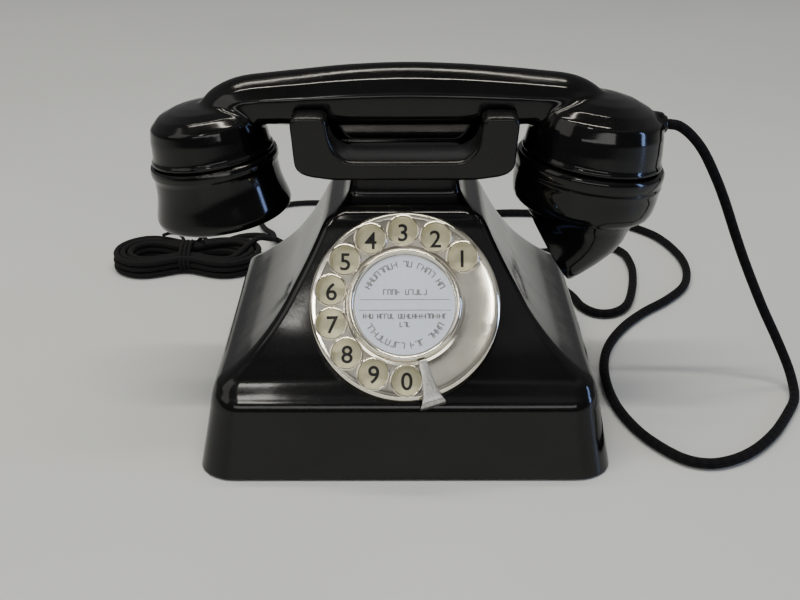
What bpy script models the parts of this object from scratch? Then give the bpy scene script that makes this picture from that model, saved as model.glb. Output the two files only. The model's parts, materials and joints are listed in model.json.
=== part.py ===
"""Rotary telephone: pyramid case, cradle, handset, dial, inner works and cords.

Lengths below are millimetres and become metres when a mesh is made.
X runs to the right, Y to the back and Z up; the feet stand on z = 0 under the case's centre.
"""
import math

import bmesh
import bpy
from mathutils import Matrix, Vector

MM = 0.001
GAP = 0.3

# Case: half widths and front and rear faces at each height
RIM_Z = 0.6
RIM_HALF_WIDTH = 83.8
RIM_FRONT = -80.8
RIM_BACK = 79.9
SHOULDER_Z = 26.0
SHOULDER_BACK = 75.05
NECK_TOP_Z = 107.3
WALL = 3.0

# Dial: centre of the finger wheel's front face and how far the dial leans back
DIAL_Y = -58.5
DIAL_Z = 67.7
DIAL_LEAN = math.radians(34.0)
WHEEL_RADIUS = 38.1
HOLE_RADIUS = 5.85
HOLE_PITCH_RADIUS = 30.0
HOLE_STEP = math.radians(25.7)
FIRST_HOLE = math.radians(40.0)
FACE_DEPTH = 9.6
RECESS_RADIUS = 38.9
DIAL_CASE_RADIUS = 32.5
DIAL_CASE_DEPTH = 30.0
GEAR_TEETH = 28
PINION_TEETH = 8
GEAR_MODULE = 1.05

# Cradle
CRADLE_HALF_DEPTH = 26.0
CRADLE_BOTTOM_Z = 107.6
CRADLE_TOP_Z = 134.3
SADDLE_Z = 115.8
TROUGH_HALF_WIDTH = 14.6
PLUNGER_X = 38.0
BRIDGE_Z = 107.9

# Handset
RECEIVER = (-81.0, 0.0, 111.0)
TRANSMITTER = (79.0, 0.0, 109.5)
END_TILT = math.radians(8.0)
GLAND_Z = 123.5

# Cords
HANDSET_CORD_DIAMETER = 4.4
LINE_CORD_DIAMETER = 3.2
HANDSET_EXIT = (58.0, 80.0, 9.0)
LINE_EXIT = (-50.0, 80.0, 9.0)
HANK_CENTRE = (-122.0, 137.0)
HANK_LENGTH = 84.0
HANK_WIDTH = 42.0
HANK_HEIGHT = 15.0

DIAL_FRAME = (Matrix.Translation(Vector((0.0, DIAL_Y, DIAL_Z)) * MM)
              @ Matrix.Rotation(math.pi / 2.0 - DIAL_LEAN, 4, "X"))
RECEIVER_FRAME = Matrix.Translation(Vector(RECEIVER) * MM) @ Matrix.Rotation(-END_TILT, 4, "Y")
TRANSMITTER_FRAME = Matrix.Translation(Vector(TRANSMITTER) * MM) @ Matrix.Rotation(END_TILT, 4, "Y")
ORIGIN = Matrix.Identity(4)


# ---------------------------------------------------------------- helpers

def clear_scene():
    for old in list(bpy.data.objects):
        bpy.data.objects.remove(old, do_unlink=True)


def finish(name, color, roughness=0.3, metallic=0.0):
    return {"name": name, "color": color, "roughness": roughness, "metallic": metallic}


BAKELITE = finish("bakelite", (0.012, 0.012, 0.014), 0.12)
NICKEL = finish("nickel", (0.72, 0.69, 0.62), 0.15, 1.0)
STEEL = finish("steel", (0.5, 0.5, 0.5), 0.35, 1.0)
BRASS = finish("brass", (0.7, 0.52, 0.25), 0.35, 1.0)
ENAMEL = finish("enamel", (0.72, 0.70, 0.56), 0.3)
CARD = finish("card", (0.85, 0.88, 0.95), 0.6)
CLEAR = finish("clear", (0.95, 0.95, 0.95), 0.05)
RUBBER = finish("rubber", (0.03, 0.03, 0.03), 0.8)
FIBRE = finish("fibre", (0.25, 0.12, 0.06), 0.6)
BRAID = finish("braid", (0.02, 0.02, 0.025), 0.9)


def material_for(look):
    material = bpy.data.materials.get(look["name"])
    if material is None:
        material = bpy.data.materials.new(look["name"])
        material.use_nodes = True
        shader = material.node_tree.nodes["Principled BSDF"]
        shader.inputs["Base Color"].default_value = look["color"] + (1.0,)
        shader.inputs["Roughness"].default_value = look["roughness"]
        shader.inputs["Metallic"].default_value = look["metallic"]
    return material


def add_mesh(name, bm, look, frame=ORIGIN, smooth_angle=35.0):
    """Turn a bmesh in millimetres into a named object in metres."""
    bmesh.ops.recalc_face_normals(bm, faces=bm.faces)
    bmesh.ops.scale(bm, vec=(MM, MM, MM), verts=bm.verts)
    mesh = bpy.data.meshes.new(name)
    bm.to_mesh(mesh)
    bm.free()
    mesh.shade_smooth()
    mesh.set_sharp_from_angle(angle=math.radians(smooth_angle))
    obj = bpy.data.objects.new(name, mesh)
    bpy.context.scene.collection.objects.link(obj)
    obj.matrix_world = frame
    mesh.materials.append(material_for(look))
    return obj


def loft(name, rings, look, frame=ORIGIN, smooth_angle=35.0):
    """Skin closed rings of equal point counts, with a flat cap at both ends."""
    bm = bmesh.new()
    rows = [[bm.verts.new(point) for point in ring] for ring in rings]
    count = len(rows[0])
    for low, high in zip(rows, rows[1:]):
        for i in range(count):
            j = (i + 1) % count
            bm.faces.new((low[i], low[j], high[j], high[i]))
    bm.faces.new(rows[0])
    bm.faces.new(rows[-1])
    return add_mesh(name, bm, look, frame, smooth_angle)


def turned(name, profile, look, frame=ORIGIN, segments=28, smooth_angle=35.0):
    """Turn a profile of (radius, height) points about Z.

    A profile that starts and ends on the axis closes itself; any other is a closed loop.
    """
    bm = bmesh.new()
    rows = []
    for radius, height in profile:
        if radius < 1e-6:
            rows.append([bm.verts.new((0.0, 0.0, height))])
        else:
            rows.append([bm.verts.new((radius * math.cos(2 * math.pi * k / segments),
                                       radius * math.sin(2 * math.pi * k / segments), height))
                         for k in range(segments)])
    pairs = list(zip(rows, rows[1:]))
    if len(rows[0]) > 1:
        pairs.append((rows[-1], rows[0]))
    for low, high in pairs:
        for k in range(segments):
            n = (k + 1) % segments
            corners = [low[k % len(low)], low[n % len(low)], high[n % len(high)], high[k % len(high)]]
            unique = list(dict.fromkeys(corners))
            if len(unique) > 2:
                bm.faces.new(unique)
    return add_mesh(name, bm, look, frame, smooth_angle)


def prism(name, outline, low, high, look, frame=ORIGIN, axis="Z", smooth_angle=35.0):
    """Extrude an outline of 2-D points from low to high along an axis."""
    def place(point, level):
        if axis == "Z":
            return (point[0], point[1], level)
        if axis == "Y":
            return (point[0], level, point[1])
        return (level, point[0], point[1])
    return loft(name, [[place(p, low) for p in outline], [place(p, high) for p in outline]],
                look, frame, smooth_angle)


def rounded_box(name, centre, size, look, radius=1.0, frame=ORIGIN):
    """A box with its upright edges rounded."""
    outline = rounded_rectangle(size[0] / 2, -size[1] / 2, size[1] / 2, radius, 3)
    shifted = [(x + centre[0], y + centre[1]) for x, y in outline]
    return prism(name, shifted, centre[2] - size[2] / 2, centre[2] + size[2] / 2, look, frame)


def rounded_rectangle(half_width, front, back, radius, steps):
    """Points of a rectangle with round corners, from the front right, counter-clockwise."""
    points = []
    for cx, cy, start in ((half_width - radius, front + radius, -90.0),
                          (half_width - radius, back - radius, 0.0),
                          (-half_width + radius, back - radius, 90.0),
                          (-half_width + radius, front + radius, 180.0)):
        for k in range(steps + 1):
            angle = math.radians(start + 90.0 * k / steps)
            points.append((cx + radius * math.cos(angle), cy + radius * math.sin(angle)))
    return points


def along_y(radius, centre, low, high, segments=24):
    """Rings of a round bar along Y."""
    circle = [(centre[0] + radius * math.cos(2 * math.pi * k / segments),
               centre[1] + radius * math.sin(2 * math.pi * k / segments)) for k in range(segments)]
    return [[(x, level, z) for x, z in circle] for level in (low, high)]


def cutter(obj):
    obj.hide_render = True
    obj.display_type = "WIRE"
    return obj


def boolean(obj, other, operation="DIFFERENCE"):
    cutter(other)
    modifier = obj.modifiers.new(operation.lower() + "_" + other.name, "BOOLEAN")
    modifier.operation = operation
    modifier.solver = "EXACT"
    modifier.object = other
    return obj


def bar_z(name, x, y, radius, low, high, look=STEEL, segments=16):
    return turned(name, [(0, low), (radius, low), (radius, high), (0, high)], look,
                  Matrix.Translation(Vector((x, y, 0)) * MM), segments)


def spline_points(points, count):
    """Points at equal steps of parameter on a Catmull-Rom curve through the given points."""
    knots = [Vector(p) for p in points]
    knots = [knots[0] * 2 - knots[1]] + knots + [knots[-1] * 2 - knots[-2]]
    fine = []
    for i in range(1, len(knots) - 2):
        a, b, c, d = knots[i - 1:i + 3]
        for k in range(12):
            t = k / 12.0
            fine.append(0.5 * (2 * b + (c - a) * t + (2 * a - 5 * b + 4 * c - d) * t * t
                               + (3 * b - a - 3 * c + d) * t ** 3))
    fine.append(knots[-2])
    lengths = [0.0]
    for p, q in zip(fine, fine[1:]):
        lengths.append(lengths[-1] + (q - p).length)
    result = []
    for k in range(count):
        target = lengths[-1] * k / (count - 1)
        i = max(1, min(len(fine) - 1, sum(1 for value in lengths if value < target)))
        share = (target - lengths[i - 1]) / (lengths[i] - lengths[i - 1])
        result.append(fine[i - 1].lerp(fine[i], share))
    return result


def tube(name, points, diameter, look, resolution, count):
    """A cord: a bevelled poly curve with filled ends."""
    curve = bpy.data.curves.new(name, "CURVE")
    curve.dimensions = "3D"
    curve.bevel_depth = diameter / 2 * MM
    curve.bevel_resolution = resolution
    curve.use_fill_caps = True
    spline = curve.splines.new("POLY")
    route = spline_points(points, count)
    spline.points.add(len(route) - 1)
    for target, point in zip(spline.points, route):
        target.co = (point.x * MM, point.y * MM, point.z * MM, 1.0)
    obj = bpy.data.objects.new(name, curve)
    bpy.context.scene.collection.objects.link(obj)
    curve.materials.append(material_for(look))
    return obj


# ---------------------------------------------------------------- case

def face_y(z):
    """Depth of the flat panel that carries the dial, at height z."""
    panel_y = DIAL_Y + FACE_DEPTH * math.cos(DIAL_LEAN)
    panel_z = DIAL_Z - FACE_DEPTH * math.sin(DIAL_LEAN)
    return panel_y + (z - panel_z) * math.tan(DIAL_LEAN)


def case_sections():
    """Height, half width, front, back and corner radius of each outer section, upwards."""
    lower = [(RIM_Z, RIM_HALF_WIDTH, RIM_FRONT, RIM_BACK, 15.0),
             (SHOULDER_Z, 79.0, -75.8, SHOULDER_BACK, 13.2), (29.4, 78.4, -75.1, 74.3, 12.8),
             (31.6, 77.9, -74.0, 73.4, 12.0), (33.4, 77.4, -72.6, 72.2, 11.4),
             (35.6, 76.7, -71.2, 70.0, 10.2)]
    slope = [(38.6, 73.8, face_y(38.6) - 2.6, 65.5, 8.5), (41.0, 70.2, face_y(41.0) - 1.9, 62.0, 7.0),
             (44.2, 66.0, face_y(44.2) - 1.1, 59.0, 5.5), (47.5, 62.0, face_y(47.5) - 0.5, 55.6, 4.6),
             (51.5, 58.1, face_y(51.5) - 0.1, 51.6, 4.0), (56.0, 54.2, face_y(56.0), 46.8, 3.6),
             (62.0, 49.7, face_y(62.0), 40.6, 3.4), (69.0, 45.4, face_y(69.0), 33.6, 3.4),
             (77.0, 40.6, face_y(77.0), 28.2, 3.4), (85.0, 36.2, face_y(85.0), 25.8, 3.4),
             (90.0, 33.6, face_y(90.0), 25.2, 3.6), (92.5, 31.6, face_y(92.5) + 0.5, 25.1, 4.0),
             (94.6, 28.8, -28.6, 25.0, 4.2), (96.4, 26.6, -25.4, 25.0, 4.2),
             (98.4, 24.7, -22.9, 25.0, 4.0), (101.0, 23.3, -21.2, 25.0, 4.0),
             (NECK_TOP_Z, 22.2, -20.4, 25.0, 4.0)]
    return lower + slope


def case_ring(section):
    z, half_width, front, back, radius = section
    return [(x, y, z) for x, y in rounded_rectangle(half_width, front, back, radius, 3)]


def inner_ring(section):
    """The section of the hollow, which also stays a wall behind the dial's panel."""
    z, half_width, front, back, radius = section
    inner_front = max(front, face_y(z)) + WALL
    return case_ring((z, half_width - WALL, inner_front, back - WALL, max(radius - WALL, 1.0)))


def lug_places():
    """The four screw lugs inside the plinth's side walls."""
    return [(sx * 74.0, sy * 40.0) for sx in (-1, 1) for sy in (-1, 1)]


def make_case():
    outer = case_sections()
    inner_rings = [inner_ring(section) for section in outer if section[0] < NECK_TOP_Z - 4.0]
    roof = [(x, y, NECK_TOP_Z - WALL) for x, y, _ in inner_rings[-1]]
    rings = [roof] + inner_rings[::-1] + [case_ring(section) for section in outer]
    case = loft("case", rings, BAKELITE, smooth_angle=28.0)
    for index, (x, y) in enumerate(lug_places()):
        lug = rounded_box("case_lug_%d" % index, (math.copysign(75.0, x), y, 9.2), (11.0, 10.0, 8.0),
                          BAKELITE, 1.0)
        boolean(case, lug, "UNION")
    for index, (x, y) in enumerate(lug_places()):
        boolean(case, bar_z("case_pilot_%d" % index, x, y, 1.9, -1.0, 30.0, segments=10))
    opening = turned("dial_opening", [(0, -45.0), (33.2, -45.0), (33.2, 5.0), (0, 5.0)],
                     STEEL, DIAL_FRAME, 40)
    boolean(case, opening)
    recess = turned("dial_recess", [(0, -FACE_DEPTH), (RECESS_RADIUS, -FACE_DEPTH),
                                    (RECESS_RADIUS, 8.0), (0, 8.0)], STEEL, DIAL_FRAME, 48)
    boolean(case, recess)
    boolean(case, bar_z("rod_hole", 0, 0, 3.2, 95.0, 115.0, segments=16))
    for index, y in enumerate((-13.0, 13.0)):
        boolean(case, bar_z("cradle_screw_hole_%d" % index, 0, y, 2.2, 95.0, 115.0, segments=12))
    for name, place, radius in (("handset_cord_hole", HANDSET_EXIT, 4.3),
                                ("line_cord_hole", LINE_EXIT, 3.8)):
        boolean(case, loft(name, along_y(radius, (place[0], place[2]), 65.0, 95.0, 16), STEEL))


def make_base():
    plate = prism("base_plate", rounded_rectangle(79.4, -75.6, 75.6, 13.0, 4), 2.4, 4.4, STEEL)
    for index, (x, y) in enumerate(lug_places()):
        boolean(plate, bar_z("plate_hole_%d" % index, x, y, 2.2, 0.0, 8.0, segments=12))
    for index, (x, y) in enumerate(lug_places()):
        side = ("left", "right")[x > 0] + ("_front", "_rear")[y > 0]
        screw = turned("case_screw_" + side, [(0, 0.7), (2.9, 0.9), (3.4, 1.5), (3.4, 2.1), (1.6, 2.1),
                                              (1.6, 12.4), (0, 13.0)], STEEL,
                       Matrix.Translation(Vector((x, y, 0)) * MM), 16)
        slot = rounded_box("screw_slot_" + side, (x, y, 0.6), (9.0, 0.9, 1.2), STEEL, 0.3)
        boolean(screw, slot)
        turned("foot_" + side, [(0, 0.0), (6.0, 0.0), (6.5, 0.5), (6.5, 2.1), (0, 2.1)], RUBBER,
               Matrix.Translation(Vector((x * 0.84, y * 1.45, 0)) * MM), 24)


# ---------------------------------------------------------------- cradle and hook switch

def cradle_outline():
    """The cradle seen from the front: right half upwards, then mirrored."""
    half = [(0.0, CRADLE_BOTTOM_Z), (26.0, CRADLE_BOTTOM_Z), (34.0, 108.3), (39.5, 109.3), (42.6, 110.9),
            (44.4, 113.4), (45.0, 118.0), (45.4, 124.0), (45.9, 130.0), (45.6, 132.6), (44.0, 134.0),
            (41.5, CRADLE_TOP_Z), (35.0, CRADLE_TOP_Z), (32.6, 133.8), (31.3, 132.2), (30.9, 130.0),
            (30.0, 125.0), (28.4, 121.0), (26.0, 118.0), (23.2, 116.2), (20.0, SADDLE_Z)]
    return half[1:] + [(-x, z) for x, z in reversed(half[1:])]


def trough_outline():
    """The trough across the cradle that takes the grip, in Y and Z."""
    side = [(TROUGH_HALF_WIDTH + 0.9, 140.0), (TROUGH_HALF_WIDTH + 0.4, 133.0),
            (TROUGH_HALF_WIDTH, 130.0), (13.6, 126.5), (11.6, 123.0), (8.8, 120.0), (6.0, 117.6),
            (4.6, 115.8), (4.2, 114.8)]
    return [(-y, z) for y, z in side] + [(y, z) for y, z in reversed(side)]


def make_cradle():
    cradle = prism("cradle", cradle_outline(), -CRADLE_HALF_DEPTH, CRADLE_HALF_DEPTH, BAKELITE, axis="Y")
    bevel = cradle.modifiers.new("bevel", "BEVEL")
    bevel.width = 1.6 * MM
    bevel.segments = 2
    bevel.limit_method = "ANGLE"
    bevel.angle_limit = math.radians(60.0)
    boolean(cradle, prism("trough", trough_outline(), -60.0, 60.0, STEEL, axis="X"))
    boolean(cradle, rounded_box("bridge_channel", (0, 0, 107.8), (84.0, 10.0, 11.6), STEEL, 1.0))
    for index, x in enumerate((-PLUNGER_X, PLUNGER_X)):
        boolean(cradle, rounded_box("plunger_slot_%d" % index, (x, 0, 115.0), (7.0, 13.0, 30.0),
                                    STEEL, 1.0))
    for index, y in enumerate((-13.0, 13.0)):
        boolean(cradle, bar_z("cradle_pilot_%d" % index, 0, y, 1.8, 100.0, 113.6, segments=10))
        side = ("front", "rear")[index]
        turned("cradle_screw_" + side, [(0, 101.4), (3.2, 101.4), (3.2, 103.9), (1.5, 103.9),
                                        (1.5, 112.4), (0, 113.0)], STEEL,
               Matrix.Translation(Vector((0, y, 0)) * MM), 14)


def make_hook_switch():
    bridge = rounded_box("bridge_bar", (0, 0, BRIDGE_Z + 0.6), (83.0, 7.0, 1.2), STEEL, 1.0)
    boolean(bridge, bar_z("bridge_hole", 0, 0, 2.6, 100.0, 115.0, segments=16))
    for side, x in (("left", -PLUNGER_X), ("right", PLUNGER_X)):
        outline = [(-5.9, BRIDGE_Z + 1.5), (5.9, BRIDGE_Z + 1.5), (5.9, 122.0), (4.6, 123.6), (2.6, 124.2),
                   (-2.6, 124.2), (-4.6, 123.6), (-5.9, 122.0)]
        prism("plunger_" + side, outline, x - 3.1, x + 3.1, BAKELITE, axis="X")
    turned("push_rod", [(0, 70.0), (2.2, 70.0), (2.2, 74.0), (4.5, 74.0), (4.5, 75.4), (2.3, 75.4),
                        (2.3, 108.8), (0, 109.4)], STEEL, segments=16)
    spring = [(3.9 * math.cos(2 * math.pi * k / 8), 3.9 * math.sin(2 * math.pi * k / 8),
               60.6 + 12.2 * k / 32.0) for k in range(33)]
    tube("hook_return_spring", spring, 0.9, STEEL, 0, 33)
    prism("hook_bracket", [(-16.0, 4.7), (-14.0, 4.7), (-14.0, 57.8), (14.0, 57.8), (14.0, 4.7),
                           (16.0, 4.7), (16.0, 59.8), (-16.0, 59.8)], -8.0, 8.0, STEEL, axis="Y")
    rounded_box("hook_contact_block", (9.6, 0, 64.6), (6.0, 12.0, 8.6), FIBRE, 0.6)
    blades = [(6.6, 69.2), (12.6, 69.2), (12.6, 71.4), (10.4, 71.4), (10.4, 86.0), (9.6, 86.0),
              (9.6, 71.4), (8.0, 71.4), (8.0, 84.0), (7.2, 84.0), (7.2, 70.2), (6.6, 70.2)]
    prism("hook_contact_springs", blades, -3.0, 3.0, BRASS, axis="Y")


# ---------------------------------------------------------------- dial

def gear_outline(teeth, module, flank=0.45, tip=0.22):
    """Outline of a spur gear with straight-sided teeth and room between them."""
    pitch_radius = teeth * module / 2
    root = pitch_radius - 1.05 * module
    top = pitch_radius + 0.7 * module
    points = []
    for k in range(teeth):
        centre = 2 * math.pi * k / teeth
        step = 2 * math.pi / teeth
        for radius, offset in ((root, -flank / 2), (top, -tip / 2), (top, tip / 2), (root, flank / 2)):
            angle = centre + offset * step
            points.append((radius * math.cos(angle), radius * math.sin(angle)))
    return points


def shifted_dial(x, y):
    return DIAL_FRAME @ Matrix.Translation(Vector((x, y, 0)) * MM)


def gear_centre_distance():
    return (GEAR_TEETH + PINION_TEETH) * GEAR_MODULE / 2 + 0.1


def make_dial():
    front = -FACE_DEPTH + GAP
    back = -DIAL_CASE_DEPTH
    turned("dial_case", [(3.1, back), (DIAL_CASE_RADIUS, back), (DIAL_CASE_RADIUS, front), (37.6, front),
                         (37.6, front + 1.6), (30.8, front + 1.6), (30.8, back + 1.6), (3.1, back + 1.6)],
           STEEL, DIAL_FRAME)
    turned("number_plate", [(10.0, -6.4), (35.8, -6.4), (35.8, front + 1.9), (36.9, front + 1.9),
                            (36.9, -5.4), (10.0, -5.4)], ENAMEL, DIAL_FRAME)
    wheel = turned("finger_wheel", [(3.3, -1.5), (21.0, -1.5), (36.2, -1.3), (36.7, -4.4), (37.7, -4.4),
                                    (WHEEL_RADIUS, -3.4), (37.9, -1.0), (36.9, 0.0), (24.0, 0.0),
                                    (3.3, -0.2)], NICKEL, DIAL_FRAME, 48)
    for k in range(10):
        angle = FIRST_HOLE + HOLE_STEP * k
        x = HOLE_PITCH_RADIUS * math.cos(angle)
        y = HOLE_PITCH_RADIUS * math.sin(angle)
        boolean(wheel, turned("finger_hole_%d" % k, [(0, -3.0), (HOLE_RADIUS, -3.0), (HOLE_RADIUS, 2.0),
                                                     (0, 2.0)], STEEL, shifted_dial(x, y), 12))
    turned("label_ring", [(20.3, 0.3), (22.5, 0.3), (22.5, 1.2), (21.8, 2.0), (20.9, 2.0), (20.3, 1.4)],
           NICKEL, DIAL_FRAME, 32)
    turned("label_card", [(0, 0.3), (19.9, 0.3), (19.9, 0.6), (0, 0.6)], CARD, DIAL_FRAME)
    turned("label_window", [(0, 0.9), (19.9, 0.9), (19.9, 1.5), (0, 1.7)], CLEAR, DIAL_FRAME)
    turned("dial_spindle", [(0, back - 2.0), (3.0, back - 2.0), (3.0, -0.5), (0, -0.5)], STEEL,
           DIAL_FRAME, 20)


def make_dial_works():
    back = -DIAL_CASE_DEPTH
    gear = prism("main_gear", gear_outline(GEAR_TEETH, GEAR_MODULE), -24.6, -23.0, BRASS, DIAL_FRAME,
                 smooth_angle=10.0)
    boolean(gear, turned("gear_bore", [(0, -27.0), (3.3, -27.0), (3.3, -20.0), (0, -20.0)], STEEL,
                         DIAL_FRAME, 24))
    wheel = turned("impulse_wheel", [(3.3, -20.6), (9.5, -20.6), (9.5, -19.4), (3.3, -19.4)], STEEL,
                   DIAL_FRAME, 30)
    for k in range(5):
        angle = 2 * math.pi * k / 5
        place = (9.6 * math.cos(angle), 9.6 * math.sin(angle), -20.0)
        boolean(wheel, rounded_box("impulse_notch_%d" % k, place, (2.4, 2.4, 4.0), STEEL, 0.8, DIAL_FRAME))
    turned("dial_mainspring", [(4.4, -16.8), (9.0, -16.8), (9.0, -12.0), (4.4, -12.0)], STEEL, DIAL_FRAME, 30)
    distance = gear_centre_distance()
    place = shifted_dial(0, -distance) @ Matrix.Rotation(math.pi / 2 + math.pi / PINION_TEETH, 4, "Z")
    pinion = prism("governor_pinion", gear_outline(PINION_TEETH, GEAR_MODULE), -25.0, -22.6, BRASS, place,
                   smooth_angle=10.0)
    boolean(pinion, turned("governor_arbor", [(0, back + 2.0), (1.2, back + 2.0), (1.2, -9.0), (0, -9.0)],
                           STEEL, place, 16), "UNION")
    turned("governor_weight", [(1.5, -14.4), (6.0, -14.4), (6.6, -13.6), (6.6, -11.2), (6.0, -10.4),
                               (1.5, -10.4)], BRASS, place, 24)
    rounded_box("pulse_contact_block", (18.5, 8.0, -23.0), (6.0, 9.0, 9.0), FIBRE, 0.8, DIAL_FRAME)
    prism("pulse_contact_springs", [(15.9, 4.8), (21.1, 4.8), (21.1, 6.0), (18.4, 6.0), (18.4, 11.0),
                                    (17.6, 11.0), (17.6, 6.0), (15.9, 6.0)], -18.2, -14.0, BRASS, DIAL_FRAME)


def make_finger_stop():
    """A bent strip from the wheel's edge inwards over the tenth hole's side."""
    angle = math.radians(-73.0)
    frame = DIAL_FRAME @ Matrix.Rotation(angle, 4, "Z")
    bend = [(40.5, -6.7), (41.7, -6.7), (41.4, 1.0), (40.6, 2.1), (22.6, 2.7), (22.6, 1.8),
            (39.7, 1.2), (40.2, 0.6)]
    widths = (4.0, 4.0, 4.0, 3.9, 1.7, 1.7, 3.8, 4.0)
    rings = [[(r, side * w, t) for (r, t), w in zip(bend, widths)] for side in (-1, 1)]
    loft("finger_stop", rings, STEEL, frame)


# ---------------------------------------------------------------- handset

def oval_ring(centre, direction, height, width, steps=16):
    """A grip section: a slightly squared oval square to the given direction in the XZ plane."""
    dx, dz = direction
    length = math.hypot(dx, dz)
    up = (-dz / length, dx / length)
    ring = []
    for k in range(steps):
        angle = 2 * math.pi * k / steps
        c = math.copysign(abs(math.cos(angle)) ** 0.82, math.cos(angle))
        s = math.copysign(abs(math.sin(angle)) ** 0.82, math.sin(angle))
        ring.append((centre[0] + up[0] * s * height / 2, c * width / 2, centre[1] + up[1] * s * height / 2))
    return ring


def grip_rings():
    """Grip sections from inside the receiver housing to inside the transmitter housing."""
    left = [((-80.0, 116.0), (0.15, 1.0), 17.0, 18.0), ((-78.6, 123.0), (0.35, 1.0), 20.0, 20.5),
            ((-75.0, 129.4), (0.75, 1.0), 21.0, 22.5), ((-68.5, 133.4), (1.0, 0.55), 20.6, 24.0),
            ((-59.0, 135.2), (1.0, 0.10), 20.6, 25.0)]
    middle = [((-44.0, 135.9), (1.0, 0.05), 22.3, 26.0), ((-22.0, 136.9), (1.0, 0.03), 24.5, 27.0),
              ((0.0, 137.3), (1.0, 0.0), 25.4, 27.2), ((22.0, 137.0), (1.0, -0.03), 24.7, 27.0),
              ((44.0, 136.2), (1.0, -0.05), 23.0, 26.4)]
    right = [((59.0, 135.4), (1.0, -0.10), 21.6, 25.6), ((68.5, 133.8), (1.0, -0.55), 21.6, 25.0),
             ((75.0, 129.6), (0.75, -1.0), 22.0, 24.0), ((78.2, 123.0), (0.35, -1.0), 21.0, 22.0),
             ((79.0, 116.0), (0.15, -1.0), 18.0, 20.0)]
    return [oval_ring(*row) for row in left + middle + right]


RECEIVER_HOUSING = [(0, 22.3), (8.0, 21.8), (14.0, 20.6), (19.0, 18.4), (22.6, 15.6), (23.8, 13.0),
                    (24.5, 6.0), (25.2, 0.3), (0, 0.3)]
TRANSMITTER_HOUSING = [(0, 28.2), (8.0, 27.4), (15.0, 25.8), (21.0, 23.3), (25.2, 20.2), (27.0, 16.8),
                       (28.8, 8.0), (29.6, 0.3), (0, 0.3)]


def make_handset():
    handset = loft("handset_moulding", grip_rings(), BAKELITE, smooth_angle=50.0)
    boolean(handset, turned("receiver_shell", RECEIVER_HOUSING, BAKELITE, RECEIVER_FRAME, 28), "UNION")
    boolean(handset, turned("transmitter_shell", TRANSMITTER_HOUSING, BAKELITE, TRANSMITTER_FRAME, 28),
            "UNION")
    boolean(handset, turned("receiver_well", [(0, -3.0), (22.0, -3.0), (22.0, 13.0), (17.0, 17.0), (0, 18.6)],
                            STEEL, RECEIVER_FRAME, 20))
    boolean(handset, turned("transmitter_well", [(0, -3.0), (26.0, -3.0), (26.0, 14.0), (20.0, 20.0),
                                                 (0, 23.6)], STEEL, TRANSMITTER_FRAME, 20))
    gland_frame = (Matrix.Translation(Vector((0, 0, GLAND_Z)) * MM) @ Matrix.Rotation(math.pi / 2, 4, "Y"))
    boolean(handset, turned("gland_seat", [(0, 95.0), (4.3, 95.0), (4.3, 115.0), (0, 115.0)], STEEL,
                            gland_frame, 20))
    turned("handset_gland", [(0, 99.5), (4.0, 99.5), (4.0, 108.4), (3.5, 109.8), (0, 109.8)], BAKELITE,
           gland_frame, 20)


def make_receiver_parts():
    turned("receiver_cap", [(22.6, -0.3), (25.8, -0.3), (26.4, -1.2), (26.4, -4.4), (25.8, -5.4),
                            (25.3, -7.5), (25.6, -12.0), (26.6, -17.0), (28.0, -21.0), (28.4, -23.4),
                            (27.8, -25.6), (26.0, -27.0), (23.0, -27.6), (20.0, -27.0), (10.0, -24.4),
                            (3.0, -23.6), (3.0, -21.0), (20.0, -21.0), (22.6, -18.0)], BAKELITE,
           RECEIVER_FRAME, 32)
    turned("receiver_capsule", [(0, 12.0), (16.0, 12.0), (20.4, 8.0), (20.4, -10.0), (0, -10.0)], STEEL,
           RECEIVER_FRAME, 20)
    turned("receiver_diaphragm", [(0, -12.6), (21.0, -12.6), (21.0, -12.2), (0, -12.2)], STEEL,
           RECEIVER_FRAME, 20)


def horn_ring(left, right, half_depth, count=28):
    """A slanted ring of the mouthpiece between two points in the XZ plane."""
    centre = ((left[0] + right[0]) / 2, (left[1] + right[1]) / 2)
    half = ((right[0] - left[0]) / 2, (right[1] - left[1]) / 2)
    return [(centre[0] + half[0] * math.cos(2 * math.pi * k / count),
             half_depth * math.sin(2 * math.pi * k / count),
             centre[1] + half[1] * math.cos(2 * math.pi * k / count)) for k in range(count)]


def disc_ring(radius, height):
    """A ring square to the transmitter's axis, as left and right points and a half depth."""
    c, s = math.cos(END_TILT), math.sin(END_TILT)
    base = (TRANSMITTER[0] + s * height, TRANSMITTER[2] + c * height)
    left = (base[0] - c * radius, base[1] + s * radius)
    right = (base[0] + c * radius, base[1] - s * radius)
    return (left, right, radius)


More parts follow.
